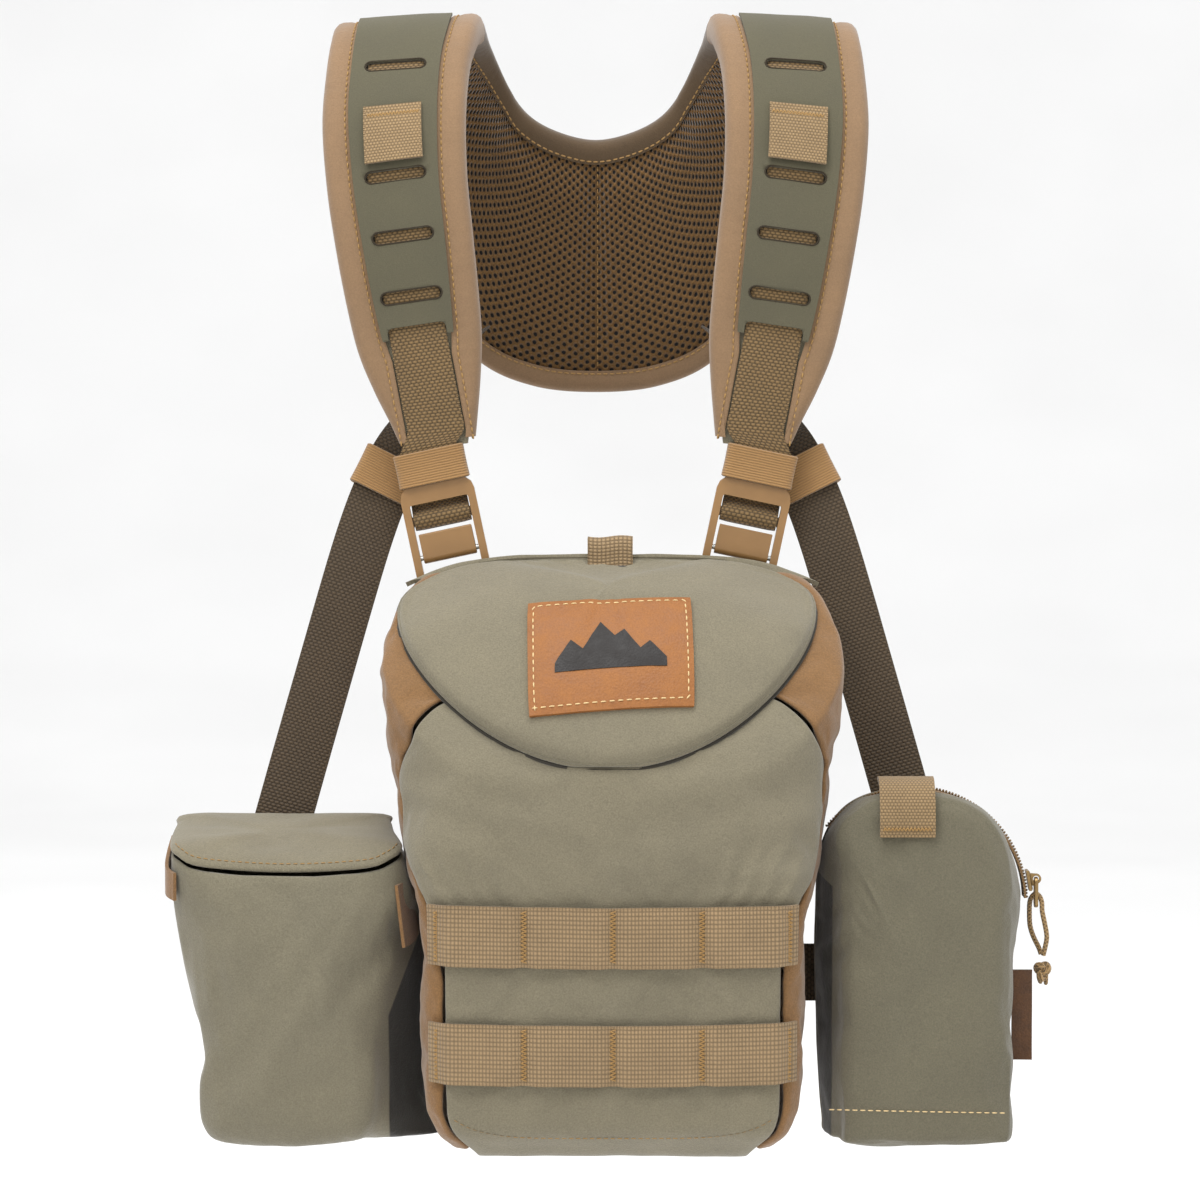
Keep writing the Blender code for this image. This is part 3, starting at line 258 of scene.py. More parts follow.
def slab(name, grid, low, high, finish):
    """A closed layer over a grid, between two heights above it."""
    rows = len(grid)
    columns = len(grid[0])
    along, across = lengths_of(grid)
    points = []
    places = []
    for level in (high, low):
        for i, line in enumerate(raised(grid, level)):
            for j, point in enumerate(line):
                points.append(world(point))
                places.append((across[i][j], along[i]))
    under = rows * columns
    faces = []
    for i in range(rows - 1):
        for j in range(columns - 1):
            at = i * columns + j
            faces.append((at, at + columns, at + columns + 1, at + 1))
            faces.append((under + at, under + at + 1, under + at + columns + 1, under + at + columns))
    rim = list(range(columns))
    rim += [i * columns + columns - 1 for i in range(1, rows)]
    rim += [(rows - 1) * columns + j for j in range(columns - 2, -1, -1)]
    rim += [i * columns for i in range(rows - 2, 0, -1)]
    for near, far in zip(rim, rim[1:] + rim[:1]):
        faces.append((near, far, under + far, under + near))
    mesh = bpy.data.meshes.new(name)
    mesh.from_pydata(points, [], faces)
    put_uv(mesh, places)
    made = keep_object(name, mesh, finish)
    mesh.set_sharp_from_angle(angle=math.radians(50))
    return made


def disc_faces(rings, count):
    """Faces of a skin over loops of count points, from its edge to one point in its middle, added last."""
    faces = []
    for i in range(rings - 1):
        for j in range(count):
            k = (j + 1) % count
            faces.append((i * count + j, i * count + k, (i + 1) * count + k, (i + 1) * count + j))
    last = (rings - 1) * count
    for j in range(count):
        faces.append((last + j, last + (j + 1) % count, rings * count))
    return faces


def ring_mesh(name, rings, finish, capped=True, looped=False):
    """A skin through rings of points, closed across the rings' own loops."""
    count = len(rings[0])
    points = [world(p) for ring in rings for p in ring]
    faces = []
    pairs = list(zip(range(len(rings) - 1), range(1, len(rings))))
    if looped:
        pairs.append((len(rings) - 1, 0))
    for near, far in pairs:
        for j in range(count):
            k = (j + 1) % count
            faces.append((near * count + j, far * count + j, far * count + k, near * count + k))
    if capped and not looped:
        faces.append(tuple(range(count)))
        faces.append(tuple(reversed(range((len(rings) - 1) * count, len(rings) * count))))
    mesh = bpy.data.meshes.new(name)
    mesh.from_pydata(points, [], faces)
    places = []
    run = 0.0
    for i, ring in enumerate(rings):
        run += (ring[0] - rings[i - 1][0]).length if i else 0.0
        round_run = 0.0
        for j, point in enumerate(ring):
            round_run += (point - ring[j - 1]).length if j else 0.0
            places.append((round_run, run))
    put_uv(mesh, places)
    fixed = bmesh.new()
    fixed.from_mesh(mesh)
    bmesh.ops.recalc_face_normals(fixed, faces=fixed.faces)
    fixed.to_mesh(mesh)
    fixed.free()
    made = keep_object(name, mesh, finish)
    mesh.set_sharp_from_angle(angle=math.radians(55))
    return made


def tube(name, route, radius, finish, sides=10, looped=False):
    """A round tube along a route of points; radius is a number or a function of the share of the way."""
    count = len(route)
    rings = []
    side = None
    for index, centre in enumerate(route):
        ahead = route[(index + 1) % count] if looped else route[min(index + 1, count - 1)]
        behind = route[index - 1] if looped or index else route[0]
        along = (ahead - behind).normalized()
        side = along.orthogonal() if side is None else side - along * side.dot(along)
        side.normalize()
        up = along.cross(side)
        size = radius(index / (count - 1)) if callable(radius) else radius
        angles = [2 * math.pi * step / sides for step in range(sides)]
        rings.append([centre + (side * math.cos(a) + up * math.sin(a)) * size for a in angles])
    return ring_mesh(name, rings, finish, looped=looped)


def joined(name, parts):
    """Several pieces as one object, which keeps their materials."""
    bpy.ops.object.select_all(action="DESELECT")
    for part in parts:
        part.select_set(True)
    bpy.context.view_layer.objects.active = parts[0]
    bpy.ops.object.join()
    parts[0].name = name
    parts[0].data.name = name
    return parts[0]


def stitches(name, lines, finish, pitch=3.0, length=2.1, width=0.55):
    """Thread lying along lines of (point, outward) pairs: one rounded bar for each stitch."""
    made = bmesh.new()
    for line in lines:
        points = [point for point, outward in line]
        places = even(points, pitch)
        for index, place in enumerate(places):
            nearest = min(range(len(points)), key=lambda k: (points[k] - place).length_squared)
            outward = line[nearest][1].normalized()
            ahead = places[min(index + 1, len(places) - 1)]
            behind = places[max(index - 1, 0)]
            add_stitch(made, place, (ahead - behind).normalized(), outward, length, width)
    return stitch_object(name, made, finish)


def add_stitch(made, centre, along, outward, length, width):
    across = along.cross(outward).normalized()
    rings = []
    for share, size in ((-0.5, 0.35), (-0.3, 0.9), (0.3, 0.9), (0.5, 0.35)):
        ring = []
        for step in range(6):
            angle = math.pi * step / 3
            lift = math.sin(angle) * width * 0.45 * size + (0.12 if abs(share) < 0.4 else -0.1)
            spot = centre + along * share * length + across * math.cos(
                angle
            ) * width * 0.5 * size + outward * lift
            ring.append(made.verts.new(world(spot)))
        rings.append(ring)
    for near, far in zip(rings, rings[1:]):
        for step in range(6):
            made.faces.new((near[step], near[step - 1], far[step - 1], far[step]))
    made.faces.new(rings[0])
    made.faces.new(reversed(rings[-1]))


def stitch_object(name, made, finish):
    bmesh.ops.recalc_face_normals(made, faces=made.faces)
    mesh = bpy.data.meshes.new(name)
    made.to_mesh(mesh)
    made.free()
    return keep_object(name, mesh, finish)


def zigzag(name, tacks, finish, step=0.95, swing=1.3):
    """Bar tacks: each is (start, end, outward), filled with slanted stitches that swing from side to side."""
    made = bmesh.new()
    for start, end, outward in tacks:
        along = (end - start).normalized()
        across = along.cross(outward).normalized()
        count = int((end - start).length / step)
        for index in range(count):
            side = 1 if index % 2 else -1
            centre = start + along * (index + 0.5) * step
            slant = (along * step + across * side * swing * 2).normalized()
            add_stitch(made, centre, slant, outward, swing * 2.3, 0.62)
    return stitch_object(name, made, finish)


def settle(piece, pinned, pressure, cap, slack=0.0, frames=20):
    """Inflates a cloth sheet between its pinned points and keeps the result; no point moves past cap."""
    start = [v.co.copy() for v in piece.data.vertices]
    group = piece.vertex_groups.new(name="sewn")
    for index in pinned:
        group.add([index], 1.0, "REPLACE")
    cloth = piece.modifiers.new("Cloth", "CLOTH")
    cloth.settings.quality = 6
    cloth.settings.mass = 0.25
    cloth.settings.tension_stiffness = 40
    cloth.settings.compression_stiffness = 40
    cloth.settings.shear_stiffness = 15
    cloth.settings.bending_stiffness = 1.5
    cloth.settings.use_pressure = True
    cloth.settings.uniform_pressure_force = pressure
    cloth.settings.shrink_min = -slack
    cloth.settings.vertex_group_mass = "sewn"
    cloth.settings.effector_weights.gravity = 0
    cloth.collision_settings.use_collision = False
    cloth.point_cache.frame_start = 1
    cloth.point_cache.frame_end = frames
    scene = bpy.context.scene
    for number in range(1, frames + 1):
        scene.frame_set(number)
    graph = bpy.context.evaluated_depsgraph_get()
    shaped = [v.co.copy() for v in piece.evaluated_get(graph).data.vertices]
    piece.modifiers.remove(cloth)
    scene.frame_set(1)
    limit = cap * MM
    for vertex, old, new in zip(piece.data.vertices, start, shaped):
        move = new - old
        if move.length > limit:
            move *= limit / move.length
        vertex.co = old + move


def thicken(piece, thickness, levels=1):
    """Gives a sheet its thickness, inwards, and smooths it."""
    solid = piece.modifiers.new("thickness", "SOLIDIFY")
    solid.thickness = thickness * MM
    solid.offset = -1
    if levels:
        smooth = piece.modifiers.new("smooth", "SUBSURF")
        smooth.levels = levels
        smooth.render_levels = levels
    return piece


def placed(piece, body, slot, *nodes):
    """Says which body a piece rides on and which CAD nodes it stands for; slot is not used."""
    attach(piece, body)
    if nodes:
        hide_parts(*nodes)
    return piece


# ---- Materials ----

def linear(red, green, blue):
    """A colour as seen on a screen, 0 to 255, as the linear values a shader takes."""
    def one(value):
        share = value / 255
        return share / 12.92 if share <= 0.04045 else ((share + 0.055) / 1.055) ** 2.4
    return (one(red), one(green), one(blue), 1.0)


def shade(colour, factor):
    return (colour[0] * factor, colour[1] * factor, colour[2] * factor, 1.0)


class Finish:
    """A Principled material and short ways to add nodes to it."""

    def __init__(self, name, **fixed):
        self.made = bpy.data.materials.new(name)
        self.made.use_nodes = True
        self.tree = self.made.node_tree
        self.shader = self.tree.nodes["Principled BSDF"]
        for key, value in fixed.items():
            self.shader.inputs[key.replace("_", " ")].default_value = value
        self.object_space = self.tree.nodes.new("ShaderNodeTexCoord").outputs["Object"]
        self.cloth_space = self.node("UVMap", {}, uv_map="cloth_mm").outputs["UV"]

    def node(self, kind, inputs, **settings):
        made = self.tree.nodes.new("ShaderNode" + kind)
        for key, value in settings.items():
            setattr(made, key, value)
        for key, value in inputs.items():
            if isinstance(value, bpy.types.NodeSocket):
                self.tree.links.new(value, made.inputs[key])
            else:
                made.inputs[key].default_value = value
        return made

    def math(self, operation, first, second=0.0, third=0.0):
        return self.node("Math", {0: first, 1: second, 2: third}, operation=operation).outputs[0]

    def lumps(self, scale, detail=3.0, space=None, roughness=0.55):
        inputs = {
            "Vector": space or self.object_space, "Scale": scale, "Detail": detail, "Roughness": roughness,
        }
        return self.node("TexNoise", inputs).outputs["Fac"]

    def spread_of(self, value, low, high, to_low=0.0, to_high=1.0):
        inputs = {"Value": value, 1: low, 2: high, 3: to_low, 4: to_high}
        return self.node("MapRange", inputs).outputs[0]

    def blend(self, share, first, second, blend_type="MIX"):
        inputs = {0: share, 6: first, 7: second}
        return self.node("Mix", inputs, data_type="RGBA", blend_type=blend_type).outputs[2]

    def colour(self, value):
        self.tree.links.new(value, self.shader.inputs["Base Color"])

    def bump(self, height, distance, strength=1.0):
        made = self.node("Bump", {"Height": height, "Distance": distance * MM, "Strength": strength})
        self.tree.links.new(made.outputs[0], self.shader.inputs["Normal"])

    def rough(self, value):
        self.tree.links.new(value, self.shader.inputs["Roughness"])


def painted_shade_mask(made, side, lines):
    """Mask for painted shade: 1 past a seam made of straight lines (x, z, slope), 0 before it; side tells
    which way is past.
    """
    x, _, z = made.node("SeparateXYZ", {0: made.object_space}).outputs
    seam = None
    for x0, z0, slope in lines:
        start = x0 * MM - (z0 - HANG_Z) * MM * slope
        line = made.math("MULTIPLY_ADD", z, slope, start)
        seam = line if seam is None else made.math("MAXIMUM" if side > 0 else "MINIMUM", seam, line)
    past = made.math("MULTIPLY", made.math("SUBTRACT", x, seam), side)
    return made.spread_of(past, 0.0, 0.0006)


def fabric(name, colour, weave=1500.0, depth=0.25, sheen=0.25, contrast=0.16, painted_shade_side=None):
    """Plain woven nylon: thread speckle, slow changes of tone and a faint sheen; painted_shade_side paints
    shade, near black, over one side.
    """
    made = Finish(name, Sheen_Weight=sheen, Sheen_Roughness=0.5, Specular_IOR_Level=0.3)
    threads = made.lumps(weave, 2.0)
    slow = made.lumps(38.0, 4.0)
    tone = made.blend(made.spread_of(slow, 0.3, 0.7), shade(colour, 0.93), shade(colour, 1.06))
    speckle = made.spread_of(threads, 0.3, 0.7, 1 - contrast, 1 + contrast)
    grey = made.node("CombineColor", {0: speckle, 1: speckle, 2: speckle}).outputs[0]
    if painted_shade_side:
        # painted shade: past the seam the cloth is coloured near black for the shadow the pouch's side lies
        # in
        tone = made.blend(painted_shade_mask(made, *painted_shade_side), tone, linear(34, 31, 25))
    made.colour(made.blend(1.0, tone, grey, "MULTIPLY"))
    made.rough(made.spread_of(slow, 0.3, 0.7, 0.8, 0.92))
    made.bump(made.math("ADD", threads, made.math("MULTIPLY", made.lumps(420.0, 3.0), 0.8)), depth)
    return made.made


def woven(name, colour, thread_u, thread_v, offset, contrast=0.5, edge=11.6, depth=0.35, gloss=0.62):
    """Webbing: raised threads in rows, thread_u by thread_v millimetres, with tight edges; shade is painted
    dark in the gaps between threads and light is painted on the raised threads.
    """
    made = Finish(name, Sheen_Weight=0.15, Specular_IOR_Level=0.4)
    u, v = made.node("SeparateXYZ", {0: made.cloth_space}).outputs[:2]
    rows = made.math("DIVIDE", v, thread_v)
    shift = made.math("MULTIPLY", made.math("FLOOR", rows), offset)
    columns = made.math("ADD", made.math("DIVIDE", u, thread_u), shift)
    bulge_u = made.math("ABSOLUTE", made.math("SINE", made.math("MULTIPLY", columns, math.pi)))
    bulge_v = made.math("ABSOLUTE", made.math("SINE", made.math("MULTIPLY", rows, math.pi)))
    height = made.math("POWER", made.math("MULTIPLY", bulge_u, bulge_v), 0.6)
    stray = made.lumps(900.0, 2.0)
    lit = made.math("MULTIPLY_ADD", made.math("SUBTRACT", stray, 0.5), 0.35, height)
    # painted shade and highlight: the colour follows the threads' height, dark in the gaps and light on top
    tone = made.blend(
        made.spread_of(lit, 0.15, 1.0), shade(colour, 1 - contrast), shade(colour, 1 + contrast * 0.42),
    )
    slow = made.blend(
        made.spread_of(made.lumps(60.0, 3.0), 0.3, 0.7), shade((1, 1, 1), 0.9), shade((1, 1, 1), 1.05),
    )
    made.colour(made.blend(1.0, tone, slow, "MULTIPLY"))
    rim = made.spread_of(made.math("ABSOLUTE", u), edge, edge + 0.8)
    cord = made.math("ABSOLUTE", made.math("SINE", made.math("MULTIPLY", v, math.pi / 0.9)))
    height = made.node("Mix", {0: rim, 2: height, 3: cord}).outputs[0]
    made.rough(made.spread_of(lit, 0.2, 1.0, gloss + 0.2, gloss))
    made.bump(height, depth)
    return made.made


def ribbed(name, colour, pitch=1.15):
    """Woven elastic: fine ribs across its length, with shade painted in their troughs and light painted on
    their crests.
    """
    made = Finish(name, Sheen_Weight=0.3, Specular_IOR_Level=0.3)
    v = made.node("SeparateXYZ", {0: made.cloth_space}).outputs[1]
    wobble = made.math("MULTIPLY", made.math("SUBTRACT", made.lumps(500.0, 2.0), 0.5), 0.9)
    rib = made.math("ABSOLUTE", made.math("SINE", made.math("MULTIPLY_ADD", v, math.pi / pitch, wobble)))
    speck = made.lumps(1300.0, 2.0)
    fine = made.math("MULTIPLY_ADD", made.math("SUBTRACT", speck, 0.5), 0.8, rib)
    # painted shade and highlight: darker in the rib troughs, lighter on the crests
    made.colour(made.blend(made.spread_of(fine, 0.0, 1.1), shade(colour, 0.78), shade(colour, 1.12)))
    made.rough(made.spread_of(speck, 0.3, 0.7, 0.8, 0.95))
    made.bump(rib, 0.25)
    return made.made


def open_mesh(name, colour, dark):
    """Spacer mesh: staggered holes painted near black for the shade inside them, with rounded rims between
    raised cords.
    """
    made = Finish(name, Sheen_Weight=0.2, Specular_IOR_Level=0.3)
    half = (1.95, 2.45, 1.0)
    low = (-half[0], -half[1], -half[2])
    gaps = []
    for shift in ((0.0, 0.0, 0.0), half):
        moved = made.node("VectorMath", {0: made.cloth_space, 1: shift}, operation="ADD").outputs[0]
        cell = made.node("VectorMath", {0: moved, 1: half, 2: low}, operation="WRAP").outputs[0]
        scaled = made.node("VectorMath", {0: cell, 1: (1.0, 1.12, 0.0)}, operation="MULTIPLY").outputs[0]
        gaps.append(made.node("VectorMath", {0: scaled}, operation="LENGTH").outputs["Value"])
    near = made.math("MINIMUM", gaps[0], gaps[1])
    ragged = made.math("MULTIPLY_ADD", made.math("SUBTRACT", made.lumps(700.0, 2.0), 0.5), 0.5, near)
    solid = made.spread_of(ragged, 0.78, 1.12)
    threads = made.lumps(1500.0, 2.0)
    tone = made.blend(made.spread_of(threads, 0.3, 0.7), shade(colour, 0.7), shade(colour, 1.25))
    # painted shade: the holes take a near-black colour for the shade inside them
    made.colour(made.blend(solid, dark, tone))
    made.rough(made.spread_of(solid, 0, 1, 1.0, 0.8))
    made.bump(made.math("MULTIPLY_ADD", threads, 0.15, made.spread_of(near, 0.7, 1.7)), 1.0)
    return made.made


def moulded(name, colour):
    """Semi-gloss moulded plastic with a faint flow and fine scuffs."""
    made = Finish(name, Specular_IOR_Level=0.5)
    flow = made.lumps(70.0, 3.0)
    scuff = made.lumps(1400.0, 4.0)
    made.colour(made.blend(made.spread_of(flow, 0.3, 0.7), shade(colour, 0.92), shade(colour, 1.07)))
    made.rough(made.spread_of(scuff, 0.3, 0.7, 0.3, 0.44))
    made.bump(scuff, 0.03)
    return made.made


def hide(name, colour, worn):
    """Vegetable-tanned leather: pores, soft mottling and darker rubbed places."""
    made = Finish(name, Specular_IOR_Level=0.35)
    pores = made.node("TexVoronoi", {"Vector": made.object_space, "Scale": 900.0}).outputs["Distance"]
    mottle = made.lumps(110.0, 6.0, roughness=0.65)
    tone = made.blend(made.spread_of(mottle, 0.28, 0.72), worn, colour)
    speck = made.spread_of(made.lumps(1600.0, 3.0), 0.3, 0.7, 0.86, 1.12)
    grey = made.node("CombineColor", {0: speck, 1: speck, 2: speck}).outputs[0]
    made.colour(made.blend(1.0, tone, grey, "MULTIPLY"))
    made.rough(made.spread_of(mottle, 0.3, 0.7, 0.5, 0.68))
    made.bump(made.math("MULTIPLY_ADD", pores, 0.7, mottle), 0.2)
    return made.made


def metal(name, colour, rough_low, rough_high):
    made = Finish(name, Metallic=1.0)
    grain = made.lumps(600.0, 4.0)
    made.colour(made.blend(made.spread_of(grain, 0.3, 0.7), shade(colour, 0.85), shade(colour, 1.08)))
    made.rough(made.spread_of(grain, 0.3, 0.7, rough_low, rough_high))
    made.bump(grain, 0.04)
    return made.made


def thread(name, colour):
    made = Finish(name, Specular_IOR_Level=0.4)
    twist = made.lumps(2200.0, 2.0)
    made.colour(made.blend(made.spread_of(twist, 0.3, 0.7), shade(colour, 0.75), shade(colour, 1.15)))
    made.rough(made.spread_of(twist, 0.3, 0.7, 0.55, 0.75))
    made.bump(twist, 0.08)
    return made.made


def braid(name, colour):
    """Braided cord: slanted strands that cross round it, with shade painted dark between the strands and
    light painted on them.
    """
    made = Finish(name, Sheen_Weight=0.2, Specular_IOR_Level=0.3)
    u, v = made.node("SeparateXYZ", {0: made.cloth_space}).outputs[:2]
    first = made.math("SINE", made.math("MULTIPLY_ADD", v, 3.6, made.math("MULTIPLY", u, 2.7)))
    second = made.math("SINE", made.math("MULTIPLY_ADD", v, 3.6, made.math("MULTIPLY", u, -2.7)))
    strands = made.math("MAXIMUM", first, second)
    # painted shade and highlight: dark in the grooves between strands, light on the strands
    made.colour(made.blend(made.spread_of(strands, -0.6, 1.0), shade(colour, 0.5), shade(colour, 1.15)))
    made.rough(made.spread_of(strands, -0.6, 1.0, 0.9, 0.7))
    made.bump(strands, 0.3)
    return made.made


OLIVE = linear(116, 109, 90)
COYOTE = linear(122, 90, 55)
LIGHT_WEB = linear(143, 119, 86)
DARK_WEB = linear(113, 89, 53)
SIDE_WEB = linear(72, 57, 37)
TAN = linear(148, 96, 48)

# Seams between each pouch's front and its side, past which shade is painted near black, as straight lines: x,
# z and x's change with z
LEFT_SEAM = ((-97.5, 0.0, 0.0), (-97.0, 53.0, 0.38), (-80.0, 97.0, 8.0))
RIGHT_SEAM = ((96.6, 0.0, 0.0), (96.6, 108.0, -1.2))

FINISHES = {
    "olive": fabric("olive_fabric", OLIVE),
    "olive_dark": fabric("olive_fabric_pouch", linear(108, 102, 84)),
    "lining": fabric("dark_lining", linear(52, 48, 40)),
    "coyote": fabric("coyote_fabric", COYOTE, contrast=0.2),
    "tape": fabric("binding_tape", linear(128, 102, 75), weave=1500.0, depth=0.14, contrast=0.1),
    # painted shade: the neck binding is the same tape as the lit binding, coloured darker for the shade
    # inside the neck
    "tape_painted_shade": fabric("neck_tape", linear(82, 65, 45), weave=1500.0, depth=0.14, contrast=0.1),
    "laminate": fabric("laminate", linear(83, 79, 62), weave=2000.0, depth=0.1, sheen=0.1, contrast=0.1),
    "cut_edge": fabric("cut_edge", linear(48, 40, 28), weave=2000.0, depth=0.1, sheen=0.0),
    "foam": fabric("grey_foam", linear(72, 70, 64), weave=700.0, depth=0.3),
    # the mesh's second colour is painted shade for its holes
    "mesh": open_mesh("spacer_mesh", linear(104, 74, 34), linear(9, 6, 3)),
    "row_web": woven("light_webbing", LIGHT_WEB, 1.9, 1.5, 0.0, contrast=0.42),
    "tab_web": woven("tab_webbing", linear(140, 115, 79), 1.5, 1.3, 0.5, contrast=0.4),
    "strap_web": woven("dark_webbing", DARK_WEB, 2.3, 1.45, 0.5, contrast=0.6),
    "side_web": woven("side_webbing", SIDE_WEB, 2.3, 1.45, 0.5, contrast=0.5),
    "elastic": ribbed("elastic", linear(147, 112, 70)),
    "plastic": moulded("coyote_plastic", linear(143, 108, 66)),
    "steel": metal("bright_steel", linear(196, 196, 192), 0.18, 0.3),
    "brass": metal("zip_metal", linear(150, 124, 84), 0.3, 0.5),
    "leather": hide("tan_leather", TAN, linear(132, 82, 38)),
    "leather_dark": hide("dark_leather", linear(96, 64, 38), linear(66, 42, 24)),
    "ink": hide("burnt_leather", linear(34, 30, 28), linear(26, 22, 20)),
    "thread": thread("tan_thread", linear(156, 122, 72)),
    "cream": thread("cream_thread", linear(216, 188, 138)),
    "zip": woven("zip_tape", linear(136, 105, 67), 1.1, 1.0, 0.5, contrast=0.3, edge=20.0, depth=0.15),
    "cord": braid("braided_cord", linear(158, 128, 86)),
    "hook": fabric("hook_strip", linear(95, 90, 72), weave=900.0, depth=0.6),
    # painted shade: both pouch fabrics turn near black past their side seams, for the shadow there
    "left_bag": fabric("left_pouch_fabric", linear(111, 105, 87), painted_shade_side=(1, LEFT_SEAM)),
    "right_bag": fabric("right_pouch_fabric", linear(98, 93, 76), painted_shade_side=(-1, RIGHT_SEAM)),
}


# ---- Camera, light and floor ----

AIM = (-5.0, -95.0, 235.0)
CAMERA_DISTANCE = 2000.0
CAMERA_ELEVATION = math.radians(3.0)
CAMERA_LENS = 141.0
FLOOR_Z = -150.0


def make_camera():
    data = bpy.data.cameras.new("camera")
    data.lens = CAMERA_LENS
    data.sensor_width = 36.0
    data.clip_end = 50.0
    camera = bpy.data.objects.new("camera", data)
    back = Vector((0, -math.cos(CAMERA_ELEVATION), math.sin(CAMERA_ELEVATION)))
    camera.location = world(Vector(AIM) + back * CAMERA_DISTANCE)
    camera.rotation_mode = "QUATERNION"
    camera.rotation_quaternion = (-back).to_track_quat("-Z", "Y")
    bpy.context.scene.collection.objects.link(camera)
    bpy.context.scene.camera = camera


def soft_light(name, place, aim, size, power):
    data = bpy.data.lights.new(name, "AREA")
    data.shape = "DISK"
    data.size = size
    data.energy = power
    light = bpy.data.objects.new(name, data)
    light.location = place
    light.rotation_mode = "QUATERNION"
    light.rotation_quaternion = (Vector(aim) - Vector(place)).to_track_quat("-Z", "Y")
    bpy.context.scene.collection.objects.link(light)


# Studio sizes are in metres
LIGHT_AIM = (0, 0, -0.25)
STUDIO_LIGHTS = (
    ("key", (-0.9, -1.3, 1.2), 0.9, 18),
    ("fill", (1.4, -1.5, 0.3), 1.2, 3),
    ("top", (0.0, -0.4, 1.6), 1.0, 26),
)
FLOOR_FRONT = -8.0
FLOOR_SIDE = 9.0
SWEEP_START = 2.6
SWEEP_R = 2.0
WALL_HEIGHT = 7.0


def make_studio():
    """Plain pale floor that curves up into a wall behind, with soft lights and a white sky."""
    sky = bpy.data.worlds.new("studio")
    sky.use_nodes = True
    background = sky.node_tree.nodes["Background"]
    background.inputs["Color"].default_value = (1.0, 1.0, 1.0, 1.0)
    background.inputs["Strength"].default_value = 0.92
    bpy.context.scene.world = sky
    bpy.context.scene.view_settings.view_transform = "Standard"
    for name, place, size, watts in STUDIO_LIGHTS:
        soft_light(name, place, LIGHT_AIM, size, watts)
    floor = Finish("pale_floor", Roughness=0.9)
    tone = floor.lumps(3.0, 2.0)
    floor.colour(floor.blend(floor.spread_of(tone, 0.3, 0.7), (0.9, 0.9, 0.9, 1.0), (0.94, 0.94, 0.94, 1.0)))
    mesh = bpy.data.meshes.new("floor")
    low = world((0, 0, FLOOR_Z)).z
    profile = [(FLOOR_FRONT, 0.0)]
    for step in range(13):
        angle = math.pi / 2 * step / 12
        profile.append((SWEEP_START + SWEEP_R * math.sin(angle), SWEEP_R - SWEEP_R * math.cos(angle)))
    profile.append((SWEEP_START + SWEEP_R, WALL_HEIGHT))
    points = [(x, y, low + z) for y, z in profile for x in (-FLOOR_SIDE, FLOOR_SIDE)]
    mesh.from_pydata(points, [], [(2 * i, 2 * i + 1, 2 * i + 3, 2 * i + 2) for i in range(len(profile) - 1)])
    for polygon in mesh.polygons:
        polygon.use_smooth = True
    keep_object("floor", mesh, floor.made)


# ---- Pull cord: its route from the knot up through the puller's eye and down, measured from the eye ----

CORD_R = 1.1
CORD_ROUTE = (
    (3.2, -1.9, -26.4), (3.9, -2.6, -23.0), (4.6, -3.4, -18.0), (3.6, -3.4, -12.0), (2.6, -2.6, -7.0),
    (2.5, -1.4, -3.2), (1.7, -0.4, -0.8), (0.0, 0.0, 0.6), (-1.7, 0.4, -0.8), (-2.5, 1.4, -3.2),
    (-2.6, 2.4, -8.0), (-2.2, 3.2, -14.0), (-0.6, 3.4, -19.0), (1.6, 2.6, -23.5), (2.6, 1.9, -26.4),
)
PIVOT_R = 55.1  # puller's pivot from the zip's centre
EYE_DROP = 7.2


def zip_point(angle, radius, depth):
    return Vector((ZIP_X + radius * math.cos(angle), depth, ZIP_Z + radius * math.sin(angle)))


def make_cord():
    eye = zip_point(SLIDER_ANGLE, PIVOT_R, ZIP_Y) + Vector((0, 0, -EYE_DROP))
    positions = spread(0, len(CORD_ROUTE) - 1, 43)
    route = [eye + catmull(CORD_ROUTE, position) for position in positions]
    cord = tube("pull_cord_braid", route, CORD_R, FINISHES["cord"], sides=12)
    placed(cord, "zip_pull", "braided_cord", "pull_cord")
    knot = make_knot(eye + Vector((3.0, 0, -33.4)))


def make_knot(centre):
    """Two cord ends tied in an overhand knot, with short frayed tails."""
    parts = []
    turns = [2 * math.pi * step / 40 for step in range(40)]
    trefoil = []
    for a in turns:
        x = math.sin(a) + 2 * math.sin(2 * a)
        z = math.cos(a) - 2 * math.cos(2 * a)
        trefoil.append(centre + Vector((x * 0.95, -math.sin(3 * a) * 1.5, z * 1.25)))
    parts.append(tube("knot_turns", trefoil, 1.35, FINISHES["cord"], sides=10, looped=True))
    for side, drop in ((-1, 4.6), (1, 5.4)):
        tail = [
            centre + Vector((side * 1.2, side * 0.6, 1.0)), centre + Vector((side * 1.7, side * 1.1, -2.0)),
        ]
        tail += [
            centre + Vector((side * 1.4 + 0.3, side * 1.2, -drop)),
            centre + Vector((side * 1.0 + 0.6, side, -drop - 0.4)),
        ]
        tail = [catmull(tail, position) for position in spread(0, 3, 10)]
        parts.append(
            tube("knot_tail", tail, lambda share: 1.05 - 0.25 * share**4, FINISHES["cord"], sides=10)
        )
    return placed(joined("cord_knot_tied", parts), "zip_pull", "braided_cord", "cord_knot")


# ---- Harness ----

def mirrored(stations):
    return tuple((-x, y, z) for x, y, z in stations[:0:-1]) + stations


MIRRORED = {NECK_EDGE: mirrored(NECK_EDGE), OUTER_EDGE: mirrored(OUTER_EDGE)}


def band_edge(stations, position):
    """A point of the band's edge. Positions under 0 are on the left side, the mirror image of the right."""
    x, y, z = catmull(MIRRORED[stations], position + len(stations) - 1)
    return Vector((HARNESS_X + x, y, z))


